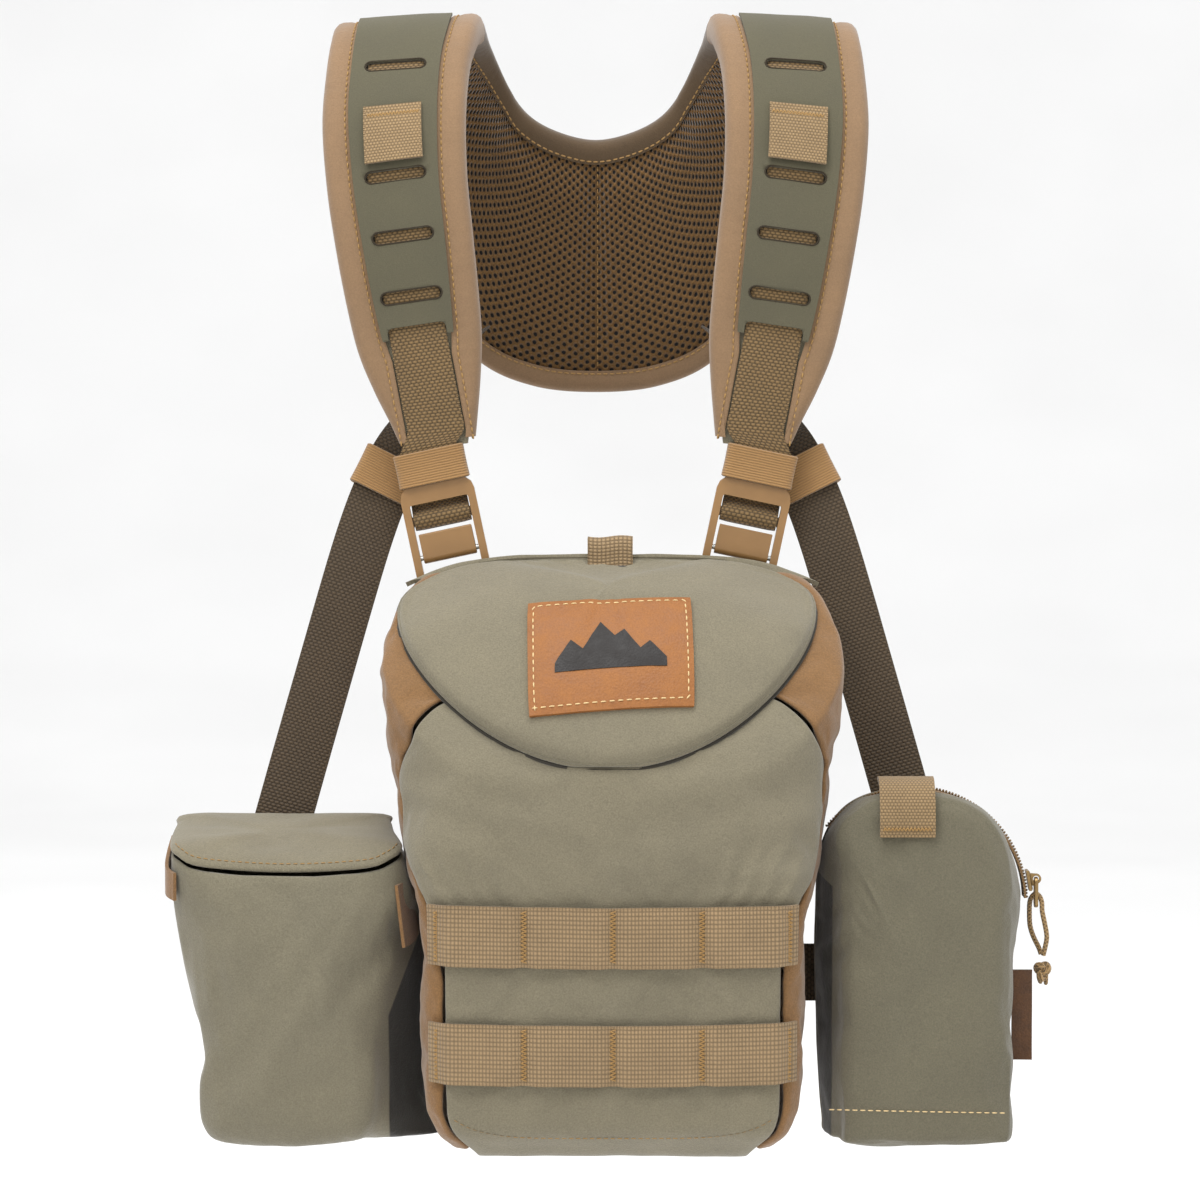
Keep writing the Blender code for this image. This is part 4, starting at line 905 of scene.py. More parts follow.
def band_grid(first, last, rows, columns, margin=2.0):
    """Points over the band, kept a margin clear of each edge; rows rise from left to right."""
    grid = []
    for position in spread(min(first, last), max(first, last), rows):
        inner = band_edge(NECK_EDGE, position)
        outer = band_edge(OUTER_EDGE, position)
        share = margin / (outer - inner).length
        grid.append([inner.lerp(outer, s) for s in spread(share, 1 - share, columns)])
    return grid


def band_frame(position, share=0.5):
    """A place on the band with its directions: across from the neck, along to the right, and outward."""
    inner = band_edge(NECK_EDGE, position)
    outer = band_edge(OUTER_EDGE, position)
    across = (outer - inner).normalized()
    along = band_edge(NECK_EDGE, position + 0.1) - band_edge(NECK_EDGE, position - 0.1)
    along += band_edge(OUTER_EDGE, position + 0.1) - band_edge(OUTER_EDGE, position - 0.1)
    outward = along.cross(across).normalized()
    return inner.lerp(outer, share), across, across.cross(outward).normalized(), outward


def edge_fall(i, j, rows, columns, reach):
    """1 well inside a grid, falling to 0 at its rim; reach is a share of the way across."""
    near = min(i / (rows - 1), 1 - i / (rows - 1)) * 1.6
    side = min(j / (columns - 1), 1 - j / (columns - 1))
    return ease(0, reach, near) * ease(0, reach, side)


def lip_at(position):
    width = (band_edge(OUTER_EDGE, position) - band_edge(NECK_EDGE, position)).length
    return max(min(BINDING_LIP, (width - WEB_W) / 2 - 2 * GAP), 1.9)


def binding(name, edge, other, span, rows, finish, slot, node, body="harness"):
    """A folded tape round one edge of the band, puckered a little by its stitches, and the stitches."""
    rings = []
    front_line = []
    back_line = []
    for position in spread(span[0], span[1], rows):
        here = band_edge(edge, position)
        across = (band_edge(other, position) - here).normalized()
        along = band_edge(edge, position + 0.05) - band_edge(edge, position - 0.05)
        outward = along.cross(across if edge is NECK_EDGE else -across).normalized()
        lip = lip_at(position)
        pucker = 0.22 * rough((position * 30, 0, 0), 3.0, 3.0)
        top = COVER_HIGH + 1.9 + pucker
        low = MESH_LOW - 1.9 - pucker
        profile = (
            (lip, top - 1.2), (lip + 0.15, top - 0.6), (lip - 0.8, top - 0.1), (lip - 2.6, top - 0.5),
            (lip * 0.55, top + 0.1),
            (3.2, top + 0.1), (1.2, top - 0.5), (-0.4, top - 2.0), (-1.2, 1.6), (-1.3, -1.0), (-1.1, -3.6),
            (-0.4, low + 1.8),
            (1.2, low + 0.4), (3.2, low - 0.1), (lip * 0.55, low - 0.1), (lip * 0.8 - 1.4, low + 0.3),
            (lip * 0.8, low + 0.2),
            (lip * 0.8, low + 0.9), (3.0, low + 1.0), (1.2, -3.5), (1.2, 2.0), (3.0, top - 1.0),
        )
        rings.append([here + across * inward + outward * rise for inward, rise in profile])
        front_line.append((here + across * (lip - 2.6) + outward * (top - 0.3), outward))
        back_line.append((here + across * (lip * 0.8 - 1.4) + outward * (low + 0.25), -outward))
    tape = ring_mesh(name, rings, finish)
    placed(tape, body, slot, node)
    seam = stitches(
        f"{name}_stitches", [front_line, back_line], FINISHES["thread"], pitch=3.1, length=2.3, width=0.85,
    )
    placed(seam, body, slot)


def make_yoke():
    span = (-STRAP_START + 0.02, STRAP_START - 0.02)
    rows, columns = 121, 33
    grid = band_grid(span[0], span[1], rows, columns)

    def inner_height(i, j):
        position = span[0] + (span[1] - span[0]) * i / (rows - 1)
        valley = math.exp(-(position / 0.22) ** 2)
        puff = 3.4 * edge_fall(i, j, rows, columns, 0.22) * (1 - 0.95 * valley)
        return MESH_LOW - puff - 0.5 * rough(grid[i][j], 30.0, 5.0) * (1 - valley)

    liner = slab("yoke_mesh_face", grid, inner_height, MESH_HIGH, FINISHES["mesh"])
    placed(liner, "harness", "spacer_mesh", "yoke_mesh_liner")

    def outer_height(i, j):
        return COVER_HIGH + 1.5 * edge_fall(i, j, rows, columns, 0.25) + 0.5 * rough(grid[i][j], 28.0, 8.0)

    cover = slab("yoke_outer_cover", grid, MESH_HIGH + 0.2, outer_height, FINISHES["olive"])
    placed(cover, "harness", "olive_fabric", "yoke_outer_panel", "yoke_foam_pad")
    # the neck tape's darker colour is painted shade
    binding(
        "yoke_neck_tape", NECK_EDGE, OUTER_EDGE, span, 141, FINISHES["tape_painted_shade"], "binding_tape",
        "yoke_neck_binding",
    )
    binding(
        "yoke_lower_tape", OUTER_EDGE, NECK_EDGE, span, 181, FINISHES["tape"], "binding_tape",
        "yoke_lower_binding",
    )
    line = []
    for share in spread(0.1, 0.92, 40):
        place, _, along, outward = band_frame(0.0, share)
        line.append((place + along * 0.9 + outward * (MESH_LOW - 0.35), -outward))
    seam = stitches("yoke_centre_stitches", [line], FINISHES["thread"], pitch=3.4, length=2.3, width=0.5)
    placed(seam, "harness", "spacer_mesh")


def strap_span(side, first, last):
    return tuple(sorted((side * first, side * last)))


def slot_rim(side, station, grow):
    """The rounded outline of one slot in the facing, and its outward direction."""
    place, across, along, outward = band_frame(side * station)
    radius = SLOT_RADIUS + grow
    straight = SLOT_HALF - SLOT_RADIUS
    rim = []
    for end in (1, -1):
        for angle in spread(-math.pi / 2, math.pi / 2, 9):
            reach = across * (straight + radius * math.cos(angle)) + along * (radius * math.sin(angle))
            rim.append(place + reach * end)
    return rim, outward


def mouth_rim(side):
    """The round-cornered opening at the facing's lower end, where the webbing comes out."""
    place, across, along, outward = band_frame(side * (FACING_END - 0.28))
    half = [(13.1, 30.0), (13.1, 2.2), (12.4, 0.6), (10.8, 0.0)]
    outline = half + [(-out, down) for out, down in half[::-1]]
    return [place + across * out + along * (side * down) for out, down in outline], outward


def make_facing(side, word):
    """Cut laminate over the webbing: slots through it with dark, slightly melted edges."""
    span = strap_span(side, FACING_START, FACING_END)
    grid = band_grid(span[0], span[1], 91, 13, margin=BINDING_LIP - 0.9)

    def top(i, j):
        rolled = 0.35 * ease(0, 0.3, min(j, 12 - j) / 12)
        return FACING_HIGH + rolled + 0.25 * rough(grid[i][j], 20.0, side * 4.0)

    facing = slab(f"shoulder_laminate_{word}", grid, 7.1, top, FINISHES["laminate"])
    rims = []
    cuts = [slot_rim(side, station, 0.0) for station in SLOT_STATIONS] + [mouth_rim(side)]
    for number, (rim, outward) in enumerate(cuts):
        rings = [[p + outward * 3.0 for p in rim], [p + outward * 13.0 for p in rim]]
        cutter = ring_mesh(f"slot_{word}_{number}", rings, FINISHES["cut_edge"])
        cut = facing.modifiers.new("slot", "BOOLEAN")
        cut.object = cutter
        cut.operation = "DIFFERENCE"
        bpy.context.view_layer.update()
        shaped = bpy.data.meshes.new_from_object(facing.evaluated_get(bpy.context.evaluated_depsgraph_get()))
        facing.modifiers.remove(cut)
        facing.data = shaped
        bpy.data.objects.remove(cutter)
    for number, station in enumerate(SLOT_STATIONS):
        edge, outward = slot_rim(side, station, 0.35)
        line = [p + outward * (FACING_HIGH + 0.1) for p in edge]
        name = f"slot_edge_{word}_{number}"
        rims.append(tube(name, line, 0.42, FINISHES["cut_edge"], sides=6, looped=True))
    placed(facing, "harness", "laminate", f"shoulder_facing_{word}")
    placed(joined(f"shoulder_slot_edges_{word}", rims), "harness", "laminate")


def buckle_axes(side):
    """The buckle's own directions: across it and up its length."""
    sideways = Vector((math.cos(BUCKLE_TILT), 0, -side * math.sin(BUCKLE_TILT)))
    upwards = Vector((side * math.sin(BUCKLE_TILT), 0, math.cos(BUCKLE_TILT)))
    return sideways, upwards


def buckle_point(side, across, back, up):
    sideways, upwards = buckle_axes(side)
    centre = Vector((HARNESS_X + side * BUCKLE_X, BUCKLE_Y, BUCKLE_Z))
    return centre + sideways * across + Vector((0, back, 0)) + upwards * up


def wrap_route(side, bar_z, first, last, count=14):
    route = []
    for degrees in spread(first, last, count):
        angle = math.radians(degrees)
        route.append(
            buckle_point(side, 0, WRAP_BACK + WRAP_R * math.cos(angle), bar_z + WRAP_R * math.sin(angle))
        )
    return route


def web_strip(name, route, facing, finish, width=WEB_W, thickness=WEB_T, columns=9):
    """Webbing along a route; facing gives its width's direction at each point."""
    grid = []
    for point, across in zip(route, facing):
        grid.append([point + across * share * width for share in spread(-0.5, 0.5, columns)])

    def height(sign):
        def at(i, j):
            share = abs(j / (columns - 1) - 0.5) * 2
            return sign * thickness / 2 * (1 - 0.35 * share**8)
        return at

    return slab(name, grid, height(-1), height(1), finish)


def dense(route, facing, step=2.0):
    """A smooth, evenly spaced copy of a route and of the directions that go with it."""
    many = []
    sides = []
    for position in spread(0, len(route) - 1, len(route) * 8):
        many.append(catmull([tuple(p) for p in route], position))
        sides.append(catmull([tuple(p) for p in facing], position).normalized())
    places = even(many, step)
    nearest = [min(range(len(many)), key=lambda k: (many[k] - p).length_squared) for p in places]
    return places, [sides[k] for k in nearest]


def make_shoulder_webbing(side, word):
    route = []
    facing = []
    for position in spread(FACING_START, STRAP_END - 0.6, 15):
        place, across, _, outward = band_frame(side * position)
        route.append(place + outward * 6.0)
        facing.append(across * side)
    for back, up in ((-5.0, 47), (-3.6, 43.5), (0.6, 36.5), (2.7, 31), (2.7, 23.8), (0.6, 21.2)):
        route.append(buckle_point(side, 0, back, up))
    route += wrap_route(side, BAR_Z, 140, 370, 8)
    route += [buckle_point(side, 0, 5.0, 24), buckle_point(side, 0, 5.2, 31)]
    level = buckle_axes(side)[0]
    facing += [level] * (len(route) - len(facing))
    places, sides = dense(route, facing)
    strip = web_strip(f"shoulder_web_{word}", places, sides, FINISHES["strap_web"])
    placed(strip, "harness", "dark_webbing", f"shoulder_webbing_{word}")


def make_tab(side, word):
    """A loose webbing tab: its upper edge is tacked down, its lower edge stands a little proud."""
    rows, columns = 13, 11
    first = side * TAB_STATION
    grid = []
    for share in spread(-0.06, 1.02, rows):
        place, across, _, _ = band_frame(first + side * share * TAB_H / WEB_W)
        grid.append([place + across * part * (WEB_W + 0.6) for part in spread(-0.5, 0.5, columns)])
    if side < 0:
        grid = grid[::-1]

    def base(i, j):
        down = (rows - 1 - i if side < 0 else i) / (rows - 1)
        return FACING_HIGH + 0.5 + 1.6 * down**1.6 + 0.5 * math.sin(math.pi * j / (columns - 1)) * down

    tab = slab(f"shoulder_tab_web_{word}", grid, base, lambda i, j: base(i, j) + WEB_T, FINISHES["tab_web"])
    placed(tab, f"tab_{word}", "light_webbing", f"shoulder_tab_{word}")
    place, across, _, outward = band_frame(first + side * 0.1)
    high = outward * (FACING_HIGH + 0.6 + WEB_T)
    tacks = [(place + across * -12 + high, place + across * 12 + high, outward)]
    sewn = zigzag(f"shoulder_tab_tack_{word}", tacks, FINISHES["thread"], step=0.8, swing=0.8)
    placed(sewn, f"tab_{word}", "light_webbing")


def sleeve(name, centre, axes, inner, wall, finish, rows=9):
    """An elastic sleeve round a strap, waisted a little along its length; its ribs run across."""
    across, back, up = axes
    rings = []
    half = inner[2] / 2
    levels = spread(-half, half, rows)
    profile = [(wall, level) for level in levels] + [(wall * 0.5, half + 0.35)]
    profile += [(0, level) for level in levels[::-1]] + [(wall * 0.5, -half - 0.35)]
    for grow, shift in profile:
        pinch = 0.35 * math.cos(shift / half * math.pi / 2)
        wide = inner[0] / 2 + grow - pinch * 0.4
        deep = inner[1] / 2 + grow - pinch
        corner = 2.0 + grow
        ring = []
        for turn, (sx, sy) in enumerate(((1, 1), (-1, 1), (-1, -1), (1, -1))):
            for angle in spread(turn * math.pi / 2, (turn + 1) * math.pi / 2, 6):
                x = sx * (wide - corner) + corner * math.cos(angle)
                y = sy * (deep - corner) + corner * math.sin(angle)
                ring.append(centre + across * x + back * y + up * shift)
        rings.append(ring)
    return ring_mesh(name, rings, finish, looped=True)


def make_keepers(side, word):
    level, rise = buckle_axes(side)
    centre = buckle_point(side, 0, -1.0, 39.4)
    keeper = sleeve(
        f"elastic_sleeve_{word}", centre, (level, Vector((0, 1, 0)), rise), (29.0, 9.8, 14.6), 1.4,
        FINISHES["elastic"],
    )
    placed(keeper, "harness", "elastic", f"elastic_keeper_{word}")
    x, y, z = catmull(SIDE_ROUTE, 5.55)
    above = catmull(SIDE_ROUTE, 5.2)
    below = catmull(SIDE_ROUTE, 5.9)
    up = Vector((side * (above.x - below.x), above.y - below.y, above.z - below.z)).normalized()
    across = Vector((0, -1, 0)).cross(up).normalized()
    centre = Vector((HARNESS_X + side * x, y, z))
    keeper = sleeve(
        f"side_sleeve_{word}", centre, (across, up.cross(across), up), (27.0, 4.6, 18.0), 1.3,
        FINISHES["elastic"],
    )
    placed(keeper, "harness", "elastic", f"side_keeper_{word}")


def make_side_strap(side, word):
    route = []
    facing = []
    for position in spread(0, len(SIDE_ROUTE) - 1, 23):
        x, y, z = catmull(SIDE_ROUTE, position)
        route.append(Vector((HARNESS_X + side * x, y, z)))
    for index in range(len(route)):
        along = route[min(index + 1, 22)] - route[max(index - 1, 0)]
        turned = ease(0.1, 0.5, index / 22)
        outward = Vector((side * 0.55, 0.0, 0.83)).lerp(Vector((0, -1, 0)), turned).normalized()
        facing.append(outward.cross(along).normalized())
    places, sides = dense(route, facing, 2.5)
    strip = web_strip(f"side_web_{word}", places, sides, FINISHES["side_web"])
    placed(strip, "harness", "dark_webbing", f"side_strap_{word}")


def make_anchor(side, word):
    sewn_x = HARNESS_X + side * 57.0
    near = 0.5 + WEB_T / 2
    far = near + WEB_T + GAP
    route = [Vector((sewn_x, near, z)) for z in (196.0, 206.0, 216.0)]
    route.append(buckle_point(side, 0, -3.9, -24))
    turn = wrap_route(side, FOOT_Z, 190, -20, 8)
    route += turn
    route.append(buckle_point(side, 0, 1.4, -24))
    route += [Vector((sewn_x, far, z)) for z in (216.0, 206.0, 197.0)]
    straight = [Vector((1, 0, 0))] * 3
    level = buckle_axes(side)[0]
    places, sides = dense(route, straight + [level] * (len(turn) + 2) + straight, 1.6)
    strip = web_strip(f"anchor_web_{word}", places, sides, FINISHES["strap_web"])
    placed(strip, "harness", "dark_webbing", f"buckle_anchor_{word}")
    outward = Vector((0, 1, 0))
    tacks = []
    for z in (199.0, 212.0):
        start = Vector((sewn_x - 11, far + WEB_T / 2 + 0.1, z))
        tacks.append((start, start + Vector((22, 0, 0)), outward))
    placed(zigzag(f"anchor_tacks_{word}", tacks, FINISHES["thread"]), "harness", "dark_webbing")


def make_buckle(word):
    """The frame, cam plate and pin are the CAD's own, with softened edges and their real finishes."""
    for node, finish, width in (
        ("buckle_frame", "plastic", 1.1), ("buckle_gate", "plastic", 0.5), ("buckle_pin", "steel", 0.2),
    ):
        piece = frame["nodes"][f"{node}_{word}"]
        soften(piece, FINISHES[finish], width)


def soften(piece, finish, width):
    """A CAD node with a real finish and rounded edges."""
    for slot in piece.material_slots:
        slot.material = finish
    weld = piece.modifiers.new("weld", "WELD")
    weld.merge_threshold = 0.00002
    flat = piece.modifiers.new("flat", "DECIMATE")
    flat.decimate_type = "DISSOLVE"
    flat.angle_limit = math.radians(1.0)
    bevel = piece.modifiers.new("bevel", "BEVEL")
    bevel.width = width * MM
    bevel.segments = 3
    bevel.limit_method = "ANGLE"
    bevel.angle_limit = math.radians(38)
    bevel.harden_normals = False
    smooth = piece.modifiers.new("normals", "WEIGHTED_NORMAL")
    smooth.keep_sharp = False


def make_strap(side, word):
    span = strap_span(side, STRAP_START + 0.02, STRAP_END)
    rows, columns = 131, 19
    grid = band_grid(span[0], span[1], rows, columns)

    def mesh_low(i, j):
        return MESH_LOW - 1.6 * edge_fall(i, j, rows, columns, 0.3)

    liner = slab(f"shoulder_mesh_face_{word}", grid, mesh_low, MESH_HIGH, FINISHES["mesh"])
    placed(liner, "harness", "spacer_mesh", f"shoulder_mesh_{word}")
    pad = slab(f"shoulder_cover_{word}", grid, MESH_HIGH + 0.2, COVER_HIGH, FINISHES["olive"])
    placed(pad, "harness", "olive_fabric", f"shoulder_pad_{word}")
    bound = strap_span(side, STRAP_START + 0.02, STRAP_END - 0.3)
    for edge, other, place in ((NECK_EDGE, OUTER_EDGE, "inner"), (OUTER_EDGE, NECK_EDGE, "outer")):
        binding(
            f"{place}_tape_{word}", edge, other, bound, 151, FINISHES["tape"], "binding_tape",
            f"{place}_binding_{word}",
        )
    make_facing(side, word)
    make_shoulder_webbing(side, word)
    make_tab(side, word)
    make_keepers(side, word)
    make_side_strap(side, word)
    make_anchor(side, word)
    make_buckle(word)


# ---- Pack ----

def read_off(table, z):
    """The value at a height, on straight lines between a table's entries."""
    for (low, near), (high, far) in zip(table, table[1:]):
        if z <= high:
            return near + (far - near) * max(z - low, 0) / (high - low)
    return table[-1][1]


def pack_half_width(z):
    return read_off(PACK_WIDTHS, z)


def pack_corner(z):
    return 15 + 29 * ease(95, 175, z)


def pack_front(z):
    return PACK_DEPTH - 16 * (1 - ease(PACK_BASE_Z, 14, z)) ** 2


def pack_outline(z, turn):
    """A point of the pack's plan outline: turn is 0 at the left rear, 0.5 at the front, 1 at the right."""
    wide = pack_half_width(z)
    deep = pack_front(z)
    corner = pack_corner(z)
    side_run = deep - corner - 4
    arc = corner * math.pi / 2
    mirror = 1 if turn > 0.5 else -1
    run = (1 - abs(turn - 0.5) * 2) * (side_run + arc + wide - corner)
    if run <= side_run:
        point = (wide - 4 * (1 - run / side_run) ** 2, -4 - run)
    elif run <= side_run + arc:
        angle = (run - side_run) / corner
        point = (wide - corner * (1 - math.cos(angle)), -4 - side_run - corner * math.sin(angle))
    else:
        point = (wide - corner - (run - side_run - arc), -deep)
    return Vector((PACK_X + mirror * point[0], point[1], z))


def rim_height(point):
    forward = min(max(-point.y / PACK_DEPTH, 0), 1)
    outward = min(abs(point.x - PACK_X) / PACK_DEPTH, 1.1)
    return SEAM_Z + 86 * (1 - forward**1.6) - 9 * outward**4 * (1 - forward)


def rim_point(turn_at):
    """Where the pack's outline, at the turn given for each height, meets the lid's edge, by averaging."""
    height = SEAM_Z + 30
    for _ in range(14):
        height = (height + rim_height(pack_outline(height, turn_at(height)))) / 2
    return pack_outline(height, turn_at(height))


def side_seam(z):
    return read_off(SIDE_SEAMS, z)


def wall_grid(first_of, last_of, columns, rows, base):
    """The pack's wall, and over its top edge the soft shoulder that runs in under the lid."""
    grid = []
    for share in spread(0, 1, columns):
        def turn_at(z):
            return first_of(z) + (last_of(z) - first_of(z)) * share
        top = rim_point(turn_at)
        column = [pack_outline(z, turn_at(z)) for z in spread(base, top.z, rows)]
        away = Vector((top.x - LID_MIDDLE.x, top.y - LID_MIDDLE.y, 0))
        inner = min(lid_reach(away.normalized(), -4.0), away.length - 6.0)
        for step in spread(0, 1, 9)[1:]:
            place = LID_MIDDLE + away.normalized() * (away.length + (inner - away.length) * step)
            column.append(on_rim(place, 0.4 + 2.6 * math.sin(math.pi * step) ** 0.8))
        grid.append(column)
    return grid


def seam_dip(grid, reach, depth, edges):
    """Rolls the named edges of a cloth panel inwards, as a turned seam does."""
    columns = len(grid[0])
    along, across = lengths_of(grid)
    total = along[-1]

    def height(i, j):
        near = []
        if "start" in edges:
            near.append(along[i])
        if "end" in edges:
            near.append(total - along[i])
        if "low" in edges:
            near.append(across[i][j] - across[i][0])
        if "high" in edges:
            near.append(across[i][columns - 1] - across[i][j])
        return -depth * (1 - ease(0, reach, min(near))) ** 1.5

    return raised(grid, height)


def rim_indices(rows, columns):
    return [i * columns + j for i in range(rows) for j in range(columns) if i in (0, rows - 1) or j in (
        0, columns - 1,
    )]


def creased(grid, height_of):
    """The grid with folds and creases: height_of(point) along the normals."""
    return raised(grid, lambda i, j: height_of(grid[i][j]))


def front_folds(point):
    """Puckers at the ends of the upper row, faint diagonal folds above it, and slack below the lower row."""
    x, _, z = point
    rise = 0.0
    for side in (-1, 1):
        off = side * (x - PACK_X)
        for number in range(4):
            slope = 0.45 + 0.12 * number
            line = off - 46 - 9 * number - (z - 106) * slope * 0.6
            fade = 1 - ease(112, 150 - 6 * number, z)
            rise += 1.3 * math.exp(-(line / 2.6) ** 2) * ease(104, 108, z) * fade
    rise += 1.7 * rough((x * 0.7, 0, z * 1.5), 26.0, 3.0) * ease(100, 116, z)
    rise += 0.5 * rough((x + z * 0.6, 0, z * 0.5), 9.0, 6.0) * ease(100, 112, z)
    rise += 0.8 * math.exp(-(((x - PACK_X) * 0.22 + z - 132) / 5.0) ** 2) * ease(104, 120, z)
    rise += 0.5 * rough((x, 0, z * 2.2), 15.0, 2.0) * (1 - ease(28, 34, z))
    return rise * ease(-1, 10, rim_height(point) - z)


def make_front_panel():
    grid = []
    ends = (lambda z: side_seam(z) + SEAM_GAP, lambda z: 1 - side_seam(z) - SEAM_GAP)
    for column in wall_grid(*ends, 97, 66, PACK_BASE_Z + 3):
        start = column[0]
        under = []
        for share in (1.0, 0.8, 0.6, 0.4, 0.2):
            width = PACK_X + (start.x - PACK_X) * (0.97 if share == 1.0 else 1.0)
            under.append(Vector((width, -5 + (start.y + 10) * share, PACK_BASE_Z)))
        grid.append(under[::-1] + column)
    rows, columns = len(grid), len(grid[0])
    grid = creased(grid, front_folds)
    hem = seam_dip(grid, 2.6, 1.5, ("start", "end", "high"))
    panel = sheet_object("pack_front_cloth", hem, FINISHES["olive"])
    held = [i * columns + j for i in range(rows) for j in range(columns) if held_by_row(grid[i][j])]
    settle(panel, rim_indices(rows, columns) + held, 1.0, 3.0, slack=0.01)
    thicken(panel, 2.2)
    placed(panel, "harness", "olive_fabric", "pack_front_panel")


def held_by_row(point):
    """The panel is sewn flat behind the two rows of webbing, and turned under at its lower seam."""
    rows = (ROW_UPPER_Z, ROW_UPPER_Z - ROW_PITCH)
    return point.z < 16 or any(abs(point.z - height) < WEB_W / 2 + 1 for height in rows)


def lower_seam(z_line):
    """The seam across the pack's lower front, as a run of (point, outward)."""
    line = []
    for turn in spread(0.29, 0.71, 90):
        bow = 8 * (abs(turn - 0.5) / 0.21) ** 6
        spot = pack_outline(z_line + bow, turn)
        outward = Vector((spot.x * 0.1, -1, -0.25)).normalized()
        line.append((spot, outward))
    return line


def make_side_panels():
    ends = (
        ("left", -1, lambda z: 0, lambda z: side_seam(z) - SEAM_GAP),
        ("right", 1, lambda z: 1 - side_seam(z) + SEAM_GAP, lambda z: 1),
    )
    for word, side, first_of, last_of in ends:
        grid = wall_grid(first_of, last_of, 41, 91, PACK_BASE_Z + 3)
        rows, columns = len(grid), len(grid[0])

        def wrinkle(point):
            x, y, z = point
            high = ease(150, 170, z)
            long_fold = 1.5 * rough((y * 1.4, 0, z * 0.5), 14.0, 7.0 + side)
            cross = 0.9 * rough((y * 0.5, 0, z * 1.6), 12.0, 3.0 + side)
            fine = 0.35 * rough((y, x, z), 4.5, 5.0)
            return ((long_fold + cross) * (0.6 + 0.8 * high) + fine) * ease(-1, 9, rim_height(point) - z)

        grid = creased(grid, wrinkle)
        dipped = seam_dip(grid, 2.6, 1.4, ("start", "end", "high"))
        panel = sheet_object(f"pack_side_cloth_{word}", dipped, FINISHES["coyote"])
        settle(panel, rim_indices(rows, columns), 1.5, 3.0, slack=0.015)
        thicken(panel, 2.2)
        placed(panel, "harness", "coyote_fabric", f"pack_side_panel_{word}")


def back_half_width(z, inset):
    if z <= BACK_TOP - BACK_ROUNDING:
        return pack_half_width(z) - 5 - inset
    share = max((BACK_TOP - inset - z) / BACK_ROUNDING, 0) ** 0.25
    return (BACK_TOP_HALF - inset) * min(share, 1)


def back_grid(low, high, inset, y, rows, columns):
    grid = []
    for z in spread(low, high, rows):
        half = back_half_width(z, inset)
        grid.append([Vector((PACK_X - u * half, y, z)) for u in spread(-1, 1, columns)])
    return grid


def make_back_panel():
    """The wearer's side: a stiff panel with a raised quilted pad, piped round its edge."""
    plate = back_grid(PACK_BASE_Z + 1, 245.6, 0.5, 0, 61, 41)
    panel = slab(
        "pack_back_cloth", plate, -3.2, lambda i, j: 0.35 * rough(plate[i][j], 20.0, 2.0),
        FINISHES["olive"],
    )
    pad = back_grid(6, 164, 12, 0, 81, 61)

    def quilt(i, j):
        z = pad[i][j].z
        x = pad[i][j].x - PACK_X
        channel = min(abs((z - 6) % 40 - 20), 20)
        seam = 1 - 0.75 * math.exp(-(channel / 2.2) ** 2) * ease(0, 6, z - 10)
        edge = edge_fall(i, j, 81, 61, 0.12)
        middle = 1 - 0.6 * math.exp(-(x / 2.4) ** 2)
        return 0.4 + 3.6 * edge * seam * middle

    raised_pad = slab("pack_back_pad", pad, -1.0, quilt, FINISHES["mesh"])
    placed(raised_pad, "harness", "olive_fabric", "pack_back_panel")
    placed(panel, "harness", "olive_fabric", "pack_back_panel")
    edge = []
    for z in spread(PACK_BASE_Z + 1, BACK_TOP - BACK_ROUNDING, 60):
        edge.append(Vector((PACK_X + back_half_width(z, 0.2), -1.8, z)))
    for share in spread(0.97, 0, 24):
        edge.append(Vector((PACK_X + BACK_TOP_HALF * share, -1.8, BACK_TOP - BACK_ROUNDING * share**4)))
    edge += [Vector((2 * PACK_X - p.x, p.y, p.z)) for p in edge[-2::-1]]
    piping = tube("pack_back_piping", even(edge, 3.0), 2.0, FINISHES["olive_dark"], sides=10, looped=True)
    placed(piping, "harness", "olive_fabric")


def make_collar():
    """The soft rim that stands up behind the lid and closes the pack between the lid and the back panel."""
    grid = []
    for share in spread(-1, 1, 81):
        outer = Vector((PACK_X + 92 * share, -4.0, 0))
        away = Vector((outer.x - LID_MIDDLE.x, outer.y - LID_MIDDLE.y, 0))
        inner = min(lid_reach(away.normalized(), -4.0), away.length - 1.0)
        line = []
        for step in spread(0, 1, 12):
            place = LID_MIDDLE + away.normalized() * (inner + (away.length - inner) * step)
            high = 5.2 * ease(0.35, 0.85, step) - 1.6 * ease(0.88, 1.0, step)
            line.append(on_rim(place, 0.4 + high * (1 - 0.8 * abs(share) ** 4)))
        grid.append(line)
    collar = slab(
        "pack_collar", grid, -2.0, lambda i, j: 0.4 * rough(grid[i][j], 12.0, 3.0), FINISHES["olive"],
    )
    placed(collar, "harness", "olive_fabric")


def make_floor_pad():
    grid = []
    for x in spread(-52, 52, 41):
        grid.append([Vector((PACK_X + x, y, -1.8)) for y in spread(-60, -12, 21)])

    def top(i, j):
        return 1.2 + 4.6 * edge_fall(i, j, 41, 21, 0.3)

    pad = slab("pack_floor_cushion", grid, -0.4, top, FINISHES["foam"])
    placed(pad, "harness", "grey_foam", "pack_floor_pad")


def make_closure():
    grid = []
    for x in spread(-30, 30, 31):
        grid.append([Vector((PACK_X + x, -4.3, z)) for z in spread(219.5, 238.5, 13)])
    strip = slab(
        "lid_hook_strip", grid, -0.2, lambda i, j: 0.9 + 0.15 * rough(grid[i][j], 1.2, 1.0),
        FINISHES["hook"],
    )
    placed(strip, "harness", "hook_strip", "lid_closure_strip")


# ---- Lid ----

